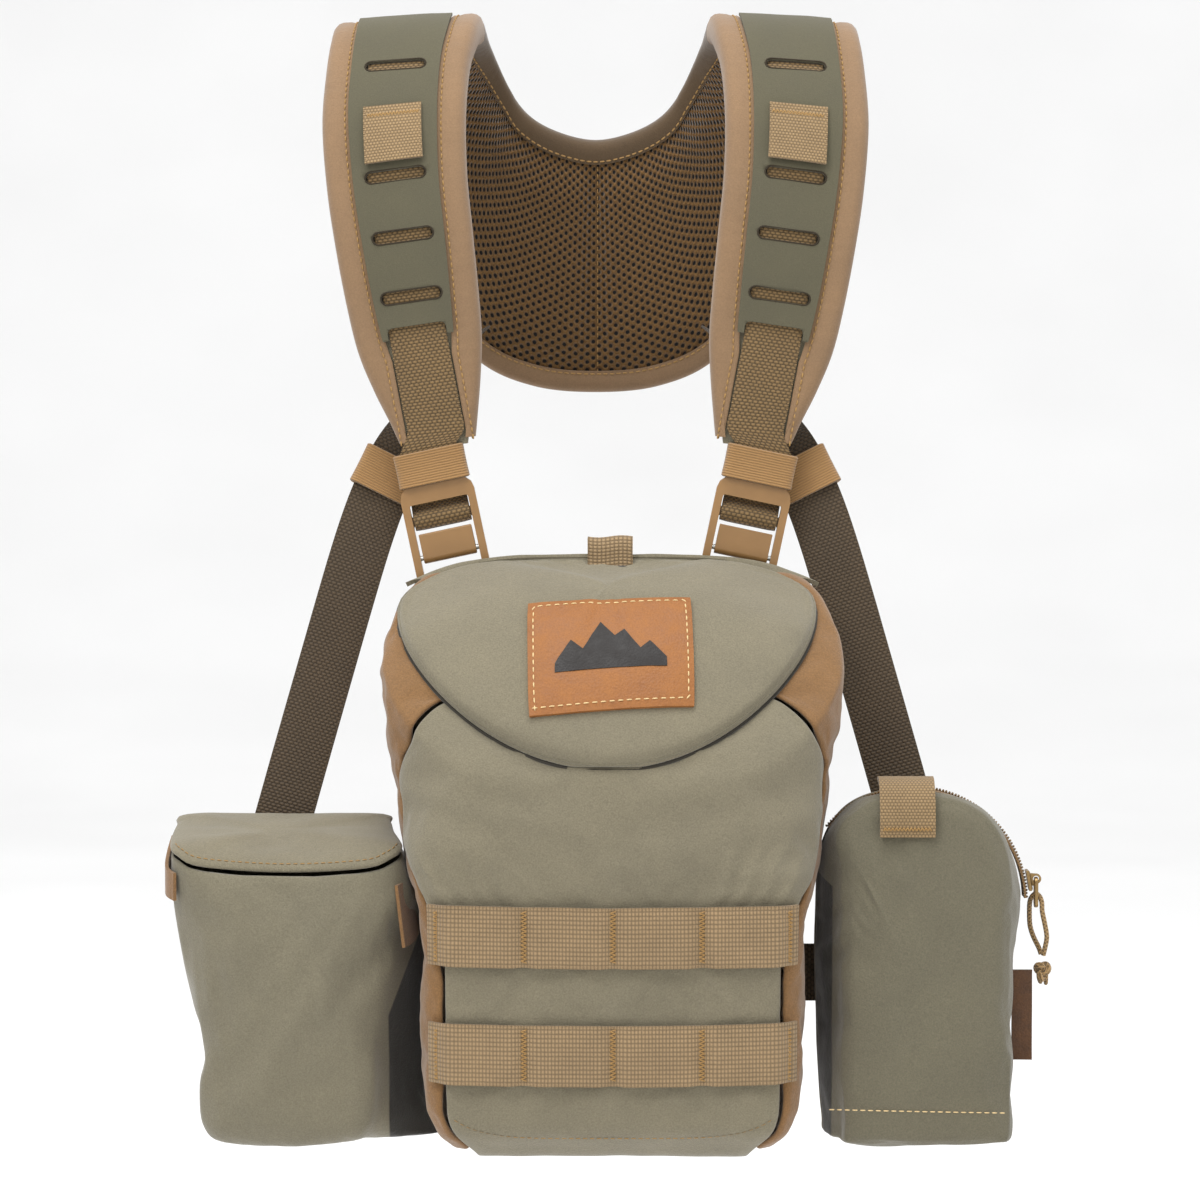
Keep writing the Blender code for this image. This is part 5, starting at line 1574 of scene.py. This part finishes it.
LID_MIDDLE = Vector((-2.0, -33.0, 0.0))
LID_HALF = 91.5
LID_FRONT = 59.0
LID_BACK = 27.5
LID_SLANT = Vector((0, -0.66, 0.75))  # the way the lid's cushion stands out from its rim
LID_SHARES = (
    1.0, 0.985, 0.965, 0.94, 0.91, 0.87, 0.82, 0.76, 0.69, 0.61, 0.53, 0.45, 0.37, 0.29, 0.21, 0.13, 0.06,
)
LID_SKIN = {}  # the lid's finished cloth, for the patch to lie on


def lid_reach(heading, spare=0.0):
    """How far the lid's oval edge lies from its middle in a plan direction; its back is the squarer end."""
    power = 2.0 if heading.y < 0 else 2.6
    deep = LID_FRONT if heading.y < 0 else LID_BACK
    size = (abs(heading.x) / LID_HALF) ** power + (abs(heading.y) / deep) ** power
    return size ** (-1 / power) + spare


def on_rim(spot, lift):
    return Vector((spot.x, spot.y, rim_height(spot) + lift))


def lid_surface(x, y):
    """A point on the lid's cloth, found by looking down its slope from outside, over a plan position."""
    start = on_rim(Vector((x, y, 0)), LID_LIFT) + LID_SLANT * 60
    hit = LID_SKIN["cloth"].ray_cast(world(start), -LID_SLANT.normalized())[0]
    return Vector((hit.x, hit.y, hit.z)) / MM + Vector((0, 0, HANG_Z))


def lid_ring(share, level, count):
    """One loop of the lid at a share of the way from its middle to its edge."""
    crown = LID_CROWN * (1 - share**2.2)
    if level == "top":
        roll = 0.3 + 0.7 * math.sqrt(max(1 - ((share - 0.88) / 0.12) ** 2, 0)) if share > 0.88 else 1.0
        height = crown + (LID_T + 1.2) * roll
    else:
        height = crown * 0.15 - 0.6 * (1 - share**2.2)
    line = []
    for step in range(count):
        angle = 2 * math.pi * step / count
        heading = Vector((math.sin(angle), -math.cos(angle), 0))
        place = LID_MIDDLE + heading * lid_reach(heading, 0.8) * share
        spot = on_rim(place, LID_LIFT) + LID_SLANT * height * (1 - 0.5 * ease(-50, -6, place.y))
        spot.y = max(spot.y, HINGE_Y + GAP)
        line.append(spot)
    return line


def make_lid():
    """A padded cushion sewn to a rim: domed cloth above, a flat lining below, piping in the seam."""
    count = 160
    for level, name, finish in (("top", "lid_cloth", "olive"), ("low", "lid_lining", "lining")):
        points = []
        places = []
        for share in LID_SHARES:
            for point in lid_ring(share, level, count):
                points.append(world(point))
                places.append((point.x - PACK_X, point.y + point.z))
        centre = sum((points[-1 - k] for k in range(count)), Vector()) / count
        points.append(centre)
        places.append((0.0, 200.0))
        faces = disc_faces(len(LID_SHARES), count)
        if level == "low":
            faces = [face[::-1] for face in faces]
        mesh = bpy.data.meshes.new(name)
        mesh.from_pydata(points, [], faces)
        put_uv(mesh, places)
        cloth = keep_object(name, mesh, FINISHES[finish])
        if level == "top":
            settle(cloth, list(range(2 * count)), 4.0, 4.5, slack=0.02)
            for vertex in mesh.vertices[2 * count:]:
                spot = vertex.co / MM
                dent = 0.5 * rough(spot, 34.0, 9.0) + 0.3 * rough(spot, 12.0, 4.0)
                vertex.co += LID_SLANT * dent * MM
            skin = bmesh.new()
            skin.from_mesh(mesh)
            skin.verts.ensure_lookup_table()
            for _ in range(14):
                bmesh.ops.smooth_vert(
                    skin, verts=skin.verts[5 * count:], factor=0.5, use_axis_x=True, use_axis_y=True,
                    use_axis_z=True,
                )
            skin.to_mesh(mesh)
            LID_SKIN["cloth"] = BVHTree.FromBMesh(skin)
            skin.free()
            thicken(cloth, 1.4, levels=1)
            placed(cloth, "lid", "olive_fabric", "pack_lid")
        else:
            thicken(cloth, 0.8, levels=0)
            placed(cloth, "lid", "olive_fabric", "pack_lid")
    line = [p + LID_SLANT * -0.8 for p in lid_ring(0.985, "top", count)]
    welt = tube("lid_seam_roll", line, 0.9, FINISHES["olive_dark"], sides=8, looped=True)
    placed(welt, "lid", "binding_tape")


PATCH_Y = -62.0
PATCH_FALL = 0.78  # plan depth of the patch for each millimetre of its height, on the lid's slope
PATCH_W = 72.0
PATCH_H = 48.0
PATCH_TILT = math.radians(3.0)
PATCH_DRIFT = 3.0
PATCH_ROWS = 49
PATCH_COLUMNS = 33
HILLS = ((-24, -6), (-17, 3), (-12, -1), (-4, 11), (2, 4), (6, 7), (13, -2), (17, 1), (24, -6))
HILLS_LOW = -9.5


def patch_grid(shrink=0.0):
    grid = []
    for share in spread(-0.5, 0.5, PATCH_ROWS):
        line = []
        for part in spread(0.5, -0.5, PATCH_COLUMNS):
            flat_x = share * (PATCH_W - shrink)
            flat_y = part * (PATCH_H - shrink)
            pull = 1 - 0.012 * (2 * part) ** 4 - 0.012 * (2 * share) ** 4
            x = PACK_X - 1 + (flat_x * math.cos(PATCH_TILT) + flat_y * math.sin(PATCH_TILT) * 0.4) * pull
            y = PATCH_Y - flat_y * PATCH_FALL * pull + share * PATCH_DRIFT
            line.append(lid_surface(x, y))
        grid.append(line)
    return grid


def make_patch():
    grid = patch_grid()
    end = PATCH_ROWS - 1
    side = PATCH_COLUMNS - 1

    def top(i, j):
        edge = min(i, end - i, j, side - j)
        return 2.2 - 0.4 * (1 - ease(0, 2, edge)) + 0.15 * rough(grid[i][j], 9.0, 1.0)

    patch = slab("lid_leather_patch", grid, 0.0, top, FINISHES["leather"])
    placed(patch, "lid", "tan_leather", "leather_patch")
    inner = raised(patch_grid(shrink=5.0), 2.2)
    outward = normals_of(inner)
    around = [(i, 0) for i in range(end + 1)] + [(end, j) for j in range(1, side + 1)]
    around += [(i, side) for i in range(end - 1, -1, -1)] + [(0, j) for j in range(side - 1, -1, -1)]
    rim = [(inner[i][j], outward[i][j]) for i, j in around]
    seam = stitches("patch_stitches", [rim], FINISHES["cream"], pitch=3.7, length=2.4, width=0.7)
    placed(seam, "lid", "tan_leather")
    make_motif()


def make_motif():
    """A plain row of hills branded into the leather."""
    lines = []
    for (x0, z0), (x1, z1) in zip(HILLS, HILLS[1:]):
        for step in range(4):
            share = step / 4
            lines.append((x0 + (x1 - x0) * share, z0 + (z1 - z0) * share))
    lines.append(HILLS[-1])
    grid = []
    for x, z in lines:
        line = []
        for part in spread(0, 1, 7):
            level = HILLS_LOW + (z - HILLS_LOW) * part
            place_x = PACK_X - 1 + x * math.cos(PATCH_TILT) - level * math.sin(PATCH_TILT) * 0.4
            line.append(lid_surface(place_x, PATCH_Y + level * PATCH_FALL + x * PATCH_DRIFT / PATCH_W))
        grid.append(line)
    brand = slab("patch_hills", grid, 1.4, 2.5, FINISHES["ink"])
    placed(brand, "lid", "tan_leather")


PULL_TAB_FOLD = (
    (-10.5, 243), (-10.0, 249), (-9.8, 254), (-8.6, 257.6), (-7.0, 257.6), (-5.8, 254), (-5.6, 249),
    (-5.6, 243),
)  # (y, z) of the folded loop


def make_pull_tab():
    """A short loop of webbing folded over and sewn behind the lid's rear edge."""
    grid = []
    route = []
    for y, z in PULL_TAB_FOLD:
        route.append((PACK_X - 1, y, z))
    route = [catmull(route, position) for position in spread(0, len(route) - 1, 40)]
    for point in route:
        grid.append([point + Vector((x, 0, 0.5 * math.sin(x * 0.3))) for x in spread(-10, 10, 9)])
    tab = slab("lid_pull_webbing", grid, -0.7, 0.7, FINISHES["row_web"])
    placed(tab, "lid", "light_webbing", "lid_pull_tab")


# ---- Webbing rows ----

def row_point(x, z, rise):
    corner = pack_corner(z)
    flat = pack_half_width(z) - corner
    angle = max(abs(x) - flat, 0) / corner
    out = min(abs(x), flat) + corner * math.sin(angle)
    y = -pack_front(z) + corner * (1 - math.cos(angle)) - 2 * GAP - rise
    return Vector((PACK_X + math.copysign(out, x), y, z))


def make_row(name, node, height, seed):
    tacks = [(step - 2) * CHANNEL_W for step in range(5)]
    grid = []
    for x in spread(-ROW_HALF, ROW_HALF, 161):
        line = []
        near = min(abs(x - tack) for tack in tacks)
        loose = ease(0.6, 7.0, near) if abs(x) < tacks[-1] else 0.25 * ease(0, 2, ROW_HALF - abs(x))
        sag = -1.0 + 1.6 * (x / ROW_HALF) ** 2 + 0.5 * rough((x, 0, height), 30.0, seed)
        for part in spread(-0.5, 0.5, 13):
            rise = 1.7 * loose * (0.8 + 0.2 * math.cos(part * math.pi))
            rise += 0.2 * rough((x, 0, part * 20), 12.0, seed)
            z = height + part * (WEB_W + 0.4 + 0.5 * loose) + sag * 0.8
            line.append(row_point(x, z, rise + 0.6))
        grid.append(line)
    row = slab(name, grid, 0, WEB_T, FINISHES["row_web"])
    placed(row, "harness", "light_webbing", node)
    marks = []
    outward = Vector((0, -1, 0))
    for tack in tacks:
        low = row_point(tack, height - WEB_W / 2 + 1.4, 0.8 + WEB_T + 0.15)
        high = row_point(tack, height + WEB_W / 2 - 1.6, 0.8 + WEB_T + 0.15)
        marks.append((low, high, outward))
    sewn = zigzag(f"{name}_tacks", marks, FINISHES["thread"], step=0.85, swing=1.25)
    placed(sewn, "harness", "light_webbing")


def make_pack():
    make_front_panel()
    make_side_panels()
    make_back_panel()
    make_collar()
    make_floor_pad()
    make_closure()
    make_lid()
    make_patch()
    make_pull_tab()
    make_row("upper_webbing_row", "webbing_row_upper", ROW_UPPER_Z, 1.0)
    make_row("lower_webbing_row", "webbing_row_lower", ROW_UPPER_Z - ROW_PITCH, 5.0)
    seam = stitches(
        "pack_lower_stitches", [lower_seam(3.0)], FINISHES["thread"], pitch=3.0, length=2.0, width=0.5,
    )
    placed(seam, "harness", "olive_fabric")


# ---- Left pouch ----

LEFT_MOUTH_Z = 118
LEFT_MOUTH_LEAN = 7.5
POUCH_POINTS = 132  # points round a pouch's loop


def rounded_loop(marks, count):
    """A smooth closed loop through marks, as evenly spaced points."""
    closed = [tuple(p) for p in marks[-1:] + marks + marks[:2]]
    fine = [catmull(closed, 1 + position) for position in spread(0, len(marks), len(marks) * 12 + 1)]
    runs = [0.0]
    for near, far in zip(fine, fine[1:]):
        runs.append(runs[-1] + (far - near).length)
    made = []
    index = 0
    for run in spread(0, runs[-1], count + 1)[:-1]:
        while runs[index + 1] < run:
            index += 1
        share = (run - runs[index]) / max(runs[index + 1] - runs[index], 1e-9)
        made.append(fine[index].lerp(fine[index + 1], share))
    return made


def left_pouch_ring(z, inset=0.0):
    share = min(max(z / 118, 0), 1)
    left = -179 - 13 * share**2 + inset
    right_back = PACK_X - pack_half_width(z) - 3.5 - inset * 0.4
    right_front = min(-103 + 19 * share**1.5, right_back - 2) - inset
    front = -66 - 4 * share + inset
    back = -13.0 - inset * 0.3
    corner = 14.0
    marks = (
        (left + 4, back), (left, back - 10), (left, front + corner), (left + 4, front + 4),
        (left + corner, front), ((left + right_front) / 2, front - 2), (right_front - corner, front),
        (right_front - 3, front + 3.5), (right_front + 2, front + 12), (right_back, back - 20),
        (right_back, back - 6), (right_back - 3, back), ((left + right_back) / 2, back),
    )
    return [Vector((x, y, z)) for x, y in marks]


def pouch_slope(point):
    """Height of the pouch's mouth: low along the sagging front seam and high at the back."""
    off = min(abs(point.x + 140) / 48, 1)
    return 114.5 + 17.5 * min(max((point.y + 70) / 57, 0), 1) + 5.0 * off**3 * ease(-20, -60, point.y)


def left_pouch_mouth(lift):
    rim = []
    for point in left_pouch_ring(LEFT_MOUTH_Z):
        lean = LEFT_MOUTH_LEAN * ease(-66, -13, point.y) if point.x > -110 else 0
        rim.append(Vector((point.x - lean, point.y, pouch_slope(point) + lift)))
    return rim


def bag(name, loops, finish, folds=None):
    """A cloth bag through loops from its mouth to its closed end, with its floor drawn to the middle."""
    rows = len(loops)
    count = len(loops[0])
    centre = sum(loops[-1], Vector()) / count
    floor = [[p.lerp(centre, share) for p in loops[-1]] for share in (0.35, 0.7)]
    grid = loops + floor
    points = []
    for i, loop in enumerate(grid):
        for j, p in enumerate(loop):
            around = loop[(j + 1) % count] - loop[j - 1]
            down = grid[min(i + 1, len(grid) - 1)][j] - grid[max(i - 1, 0)][j]
            outward = around.cross(down).normalized()
            middle = sum(loop, Vector()) / count
            if outward.dot(p - middle) < 0 and i < rows:
                outward = -outward
            lift = folds(p) if folds and 0 < i < rows else 0
            points.append(world(p + outward * lift))
    points.append(world(centre))
    mesh = bpy.data.meshes.new(name)
    mesh.from_pydata(points, [], disc_faces(len(grid), count))
    shaped = bmesh.new()
    shaped.from_mesh(mesh)
    bmesh.ops.recalc_face_normals(shaped, faces=shaped.faces)
    shaped.to_mesh(mesh)
    shaped.free()
    put_uv(mesh, [(v.co.x / MM, v.co.z / MM) for v in mesh.vertices])
    return keep_object(name, mesh, finish)


def left_folds(point):
    x, y, z = point
    front = ease(-40, -58, y)
    rise = 1.5 * rough((x * 1.1 + z * 0.7, 0, z * 0.45), 17.0, 2.0)
    rise += 0.7 * rough((x - z * 0.9, 0, z * 0.6), 9.0, 6.0)
    for slope, offset, size in (
        (0.8, -200, 1.9), (1.1, -245, 1.5), (-0.9, -75, 1.3), (0.55, -165, 1.4), (0.9, -170, -1.2),
    ):
        line = (x - slope * z - offset) / 2.8
        rise += size * math.exp(-line * line) * front * ease(10, 40, z) * (1 - ease(96, 112, z))
    return rise * (0.5 + 0.5 * front)


def make_left_pouch():
    count = POUCH_POINTS
    loops = [rounded_loop(left_pouch_mouth(0), count)]
    for z in (108, 102, 96, 88, 80, 72, 64, 56, 48, 40, 32, 25, 18, 12, 6):
        loops.append(rounded_loop(left_pouch_ring(z), count))
    for z, inset in ((2.5, 0.7), (-0.5, 2), (-2.6, 4), (-4, 7)):
        loops.append(rounded_loop(left_pouch_ring(z, inset), count))
    body = bag("left_pouch_cloth", loops, FINISHES["left_bag"], left_folds)
    seam = [i * count + j for i in (16, 17) for j in range(count)]
    settle(body, list(range(count)) + seam, 2.0, 4.0, slack=0.012)
    thicken(body, 2.0)
    placed(body, "harness", "olive_fabric", "left_pouch_body")
    make_left_lid(count)
    make_left_trims()
    make_mount_strap("left", -1, -160.0)


LEFT_LID_ROLL = (
    (0.03, -0.2), (0.005, 0.5), (0.0, 1.4), (0.012, 2.4), (0.05, 3.3), (0.12, 4.0), (0.25, 4.6), (0.42, 5.0),
    (0.6, 5.2), (0.8, 5.2),
)  # the share of the way to the middle and the height, from the sewn edge over the roll


def make_left_lid(count):
    """The pouch's top panel: soft cloth, sewn to the front and rolled over the mouth."""
    marks = [Vector((p.x, max(p.y, -69.8), p.z)) for p in left_pouch_mouth(1.0)]
    rim = rounded_loop(marks, count)
    middle = sum(rim, Vector()) / count
    rings = []
    for inset, lift in LEFT_LID_ROLL:
        ring = []
        for point in rim:
            spot = point.lerp(middle, inset) + Vector((0, 0, lift))
            spot.z += 1.3 * rough((spot.x, spot.y * 1.4, 0), 17.0, 3.0) * ease(0.02, 0.3, inset)
            ring.append(spot)
        rings.append(ring)
    under = [[p.lerp(middle, share) + Vector((0, 0, 0.1)) for p in rim] for share in (0.8, 0.4, 0.1)]
    top = ring_mesh("left_pouch_top_cloth", under + rings, FINISHES["olive"])
    placed(top, "left_pouch_cover", "olive_fabric", "left_pouch_lid")
    front = [p for p in rim if p.y < -60]
    front.sort(key=lambda p: p.x)
    line = [(p.lerp(middle, 0.045) + Vector((0, 0, 3.35)), Vector((0, -0.5, 1)).normalized()) for p in front]
    seam = stitches("left_pouch_top_stitches", [line], FINISHES["thread"], pitch=3.0, length=2.0, width=0.5)
    placed(seam, "left_pouch_cover", "olive_fabric")


OUTER_TRIM = ((-188.5, -66.0, 112), (-192.6, -58, 114), (-193.4, -40, 119), (-193.0, -22, 124))
INNER_TRIM = ((-93.5, -69.0, 107), (-90.5, -60, 108), (-88.6, -46, 110), (-88.4, -30, 112))


def make_left_trims():
    """Coyote tape round the ends of the pouch's mouth."""
    pieces = []
    for number, (stations, side) in enumerate(((OUTER_TRIM, -1), (INNER_TRIM, 1))):
        route = [catmull(stations, position) for position in spread(0, len(stations) - 1, 28)]
        grid = []
        for point in route:
            slant = 0.12 if side > 0 else 0.0
            low = -24 if side > 0 else -9
            line = [point + Vector((side * 0.8 - slant * h, 0, h)) for h in spread(low, 3, 9)]
            grid.append(line if side < 0 else line[::-1])
        pieces.append(slab(f"left_trim_{number}", grid, -0.6, 0.9, FINISHES["coyote"]))
    placed(joined("left_pouch_trim_tape", pieces), "harness", "coyote_fabric", "left_pouch_trim")


def make_mount_strap(word, side, far):
    near = PACK_X + side * 84.0
    grid = []
    for x in spread(min(near, far), max(near, far), 41):
        grid.append([Vector((x, -10.8, z)) for z in spread(52, 52 + WEB_W, 9)])
    strap = slab(f"{word}_pouch_webbing", grid, -0.8, 0.8, FINISHES["side_web"])
    placed(strap, "harness", "dark_webbing", f"{word}_pouch_mount_strap")


# ---- Right pouch ----

def right_pouch_outline(depth, round_share, inset):
    points = []
    half = 43.0 - inset
    for angle in spread(0, math.pi, 13):
        square = 2 / 2.7
        arch_x = half * math.copysign(abs(math.cos(angle)) ** square, math.cos(angle))
        arch_z = (49 - inset) * math.sin(angle) ** square
        round_x = (ZIP_R - 1.2) * math.cos(angle)
        round_z = (ZIP_R - 1.2) * math.sin(angle)
        share = round_share if angle < math.pi / 2 else 0
        x = arch_x + (round_x - arch_x) * share
        z = arch_z + (round_z - arch_z) * share
        points.append((ZIP_X + x, ZIP_Z + z))
    left = ZIP_X - half
    right = ZIP_X + half
    base = -4 + inset * 0.6
    points += [(left, 60), (left + 3, base + 9), (left + 10, base)]
    points += [(right - 10, base), (right - 1, base + 8), (right, 60)]
    return [Vector((x, depth, z)) for x, z in points]


def right_loop(depth, round_share, inset, meet=None):
    """A loop of the pouch; its side by the pack slants, so that it shows from the front."""
    marks = []
    for p in right_pouch_outline(depth, round_share, inset):
        lean = 8.5 * ease(-39, -60, depth) * ease(0.2, 1.0, (ZIP_X - p.x) / 43) * (1 - ease(112, 138, p.z))
        marks.append(Vector((p.x + lean, p.y, p.z)))
    if meet is not None:
        marks = [Vector((p.x, meet, p.z)) if index >= 11 else p for index, p in enumerate(marks)]
    return rounded_loop(marks, POUCH_POINTS)


def between(near, far, shares):
    return [[a.lerp(b, share) for a, b in zip(near, far)] for share in shares]


def right_folds(point):
    x, y, z = point
    rise = 1.1 * rough((x * 0.8 + z * 0.6, y, z * 0.6), 17.0, 4.0)
    for slope, offset, size in ((0.9, 22, 2.0), (1.3, -32, 1.5), (0.55, 60, 1.4), (1.0, 0, -1.2)):
        line = (x - slope * z - offset) / 2.5
        fade = (1 - ease(122, 140, z)) * (1 - ease(135, 160, x))
        rise += size * math.exp(-line * line) * ease(60, 90, z) * fade
    rise += 0.3 * rough((x, y, z), 6.0, 7.0)
    return rise


def make_right_pouch():
    mouth = right_loop(-39, 1.0, 0, ZIP_Y - GAP)
    second = right_loop(-47, 0.5, 0)
    third = right_loop(-56, 0, 0)
    fourth = right_loop(-62.5, 0, 1.6)
    fifth = right_loop(-66, 0, 7)
    loops = [mouth] + between(mouth, second, (0.35, 0.7, 1.0)) + between(second, third, (0.35, 0.7, 1.0))
    loops += between(third, fourth, (0.4, 0.75, 1.0)) + between(fourth, fifth, (0.3, 0.6, 1.0))
    centre = sum(fifth, Vector()) / len(fifth)
    for share in (0.1, 0.22, 0.34, 0.46, 0.58, 0.7):
        loops.append([p.lerp(centre, share) + Vector((0, -1.2 * ease(0, 0.5, share), 0)) for p in fifth])
    front = bag("right_pouch_front_cloth", loops, FINISHES["right_bag"], right_folds)
    settle(front, list(range(POUCH_POINTS)), 2.0, 3.5, slack=0.012)
    thicken(front, 2.0)
    placed(front, "harness", "olive_fabric", "right_pouch_front")
    mouth = right_loop(-29, 1.0, 0, ZIP_Y + GAP)
    second = right_loop(-20, 0.5, 1)
    third = right_loop(-13, 0, 6)
    loops = [mouth] + between(mouth, second, (0.35, 0.7, 1.0)) + between(second, third, (0.4, 0.75, 1.0))
    rear = bag("right_pouch_back_cloth", loops, FINISHES["olive_dark"], lambda p: 0.4 * rough(p, 14.0, 3.0))
    thicken(rear, 2.0)
    placed(rear, "harness", "olive_fabric", "right_pouch_back")
    make_hem()
    make_zip()
    make_right_tab()
    make_tag()
    make_mount_strap("right", 1, 160.0)


def make_hem():
    line = []
    for x in spread(ZIP_X - 37, ZIP_X + 37, 60):
        spot = Vector((x, -68.6 + 0.002 * abs(x - ZIP_X) ** 1.6, 11.5 - 0.02 * (x - ZIP_X)))
        line.append((spot, Vector((0, -1, 0))))
    seam = stitches("right_pouch_hem", [line], FINISHES["cream"], pitch=3.3, length=2.3, width=0.6)
    placed(seam, "harness", "olive_fabric")


def make_zip():
    """Coiled zip on coyote tape over the pouch's rear top edge, with its teeth."""
    parts = []
    for low, high in ((-6.5, -1.2), (1.2, 6.5)):
        rings = []
        for angle in spread(ZIP_FIRST, ZIP_LAST, 60):
            corners = ((48.6, low), (49.6, low), (49.8, (low + high) / 2), (49.6, high), (48.6, high))
            rings.append([zip_point(angle, radius, ZIP_Y + offset) for radius, offset in corners])
        parts.append(ring_mesh("zip_half", rings, FINISHES["zip"]))
    for number, angle in enumerate(spread(ZIP_FIRST, ZIP_LAST, TEETH)):
        shift = 0.45 if number % 2 else -0.45
        tooth = []
        for turn in spread(0, math.pi, 5):
            depth = ZIP_Y + shift + 1.5 * math.cos(turn)
            tooth.append(zip_point(angle, TOOTH_R + 0.5 * math.sin(turn), depth))
        parts.append(tube("tooth", tooth, 0.42, FINISHES["brass"], sides=5))
    placed(joined("right_pouch_zip_coil", parts), "harness", "zip_tape", "right_pouch_zip")
    for node, width in (("zip_slider", 0.3), ("zip_puller", 0.35)):
        soften(frame["nodes"][node], FINISHES["brass"], width)


RIGHT_TAB_FOLD = (
    (0, -68.4, 131), (0, -68.6, 138), (0, -66.6, 146), (0, -61.5, 152), (0, -54.5, 154.0), (0, -47.0, 153.2),
)


def make_right_tab():
    """Ribbed webbing folded over the pouch's top and sewn to its front."""
    grid = []
    for position in spread(0, len(RIGHT_TAB_FOLD) - 1, 46):
        spot = catmull(RIGHT_TAB_FOLD, position)
        grid.append([spot + Vector((x, 0, 0)) for x in spread(140, 116, 11)])
    tab = slab("right_pouch_tab_web", grid, -0.2, 2.0, FINISHES["tab_web"])
    placed(tab, "harness", "light_webbing", "right_pouch_tab")
    outward = Vector((0, -1, 0))
    tack = [(Vector((117.4, -70.9, 134.5)), Vector((138.6, -70.9, 134.5)), outward)]
    sewn = zigzag("right_pouch_tab_tack", tack, FINISHES["thread"], step=0.8, swing=0.8)
    placed(sewn, "harness", "light_webbing")


def make_tag():
    """A plain leather tag sewn into the pouch's side."""
    grid = []
    for z in spread(70, 30.5, 25):
        curl = 1.2 * ease(45, 30, z)
        row = []
        for x in spread(184.4, 175.5, 9):
            row.append(Vector((x, -43.2 - curl * (x - 174) / 10 + 0.3 * rough((x, 0, z), 9.0, 2.0), z)))
        grid.append(row)
    tag = slab("side_leather_tag", grid, -0.8, 0.8, FINISHES["leather_dark"])
    placed(tag, "harness", "tan_leather", "right_pouch_tag")


# ---- Everything ----

make_camera()
make_studio()
make_yoke()
make_strap(-1, "left")
make_strap(1, "right")
make_pack()
make_left_pouch()
make_right_pouch()
make_cord()
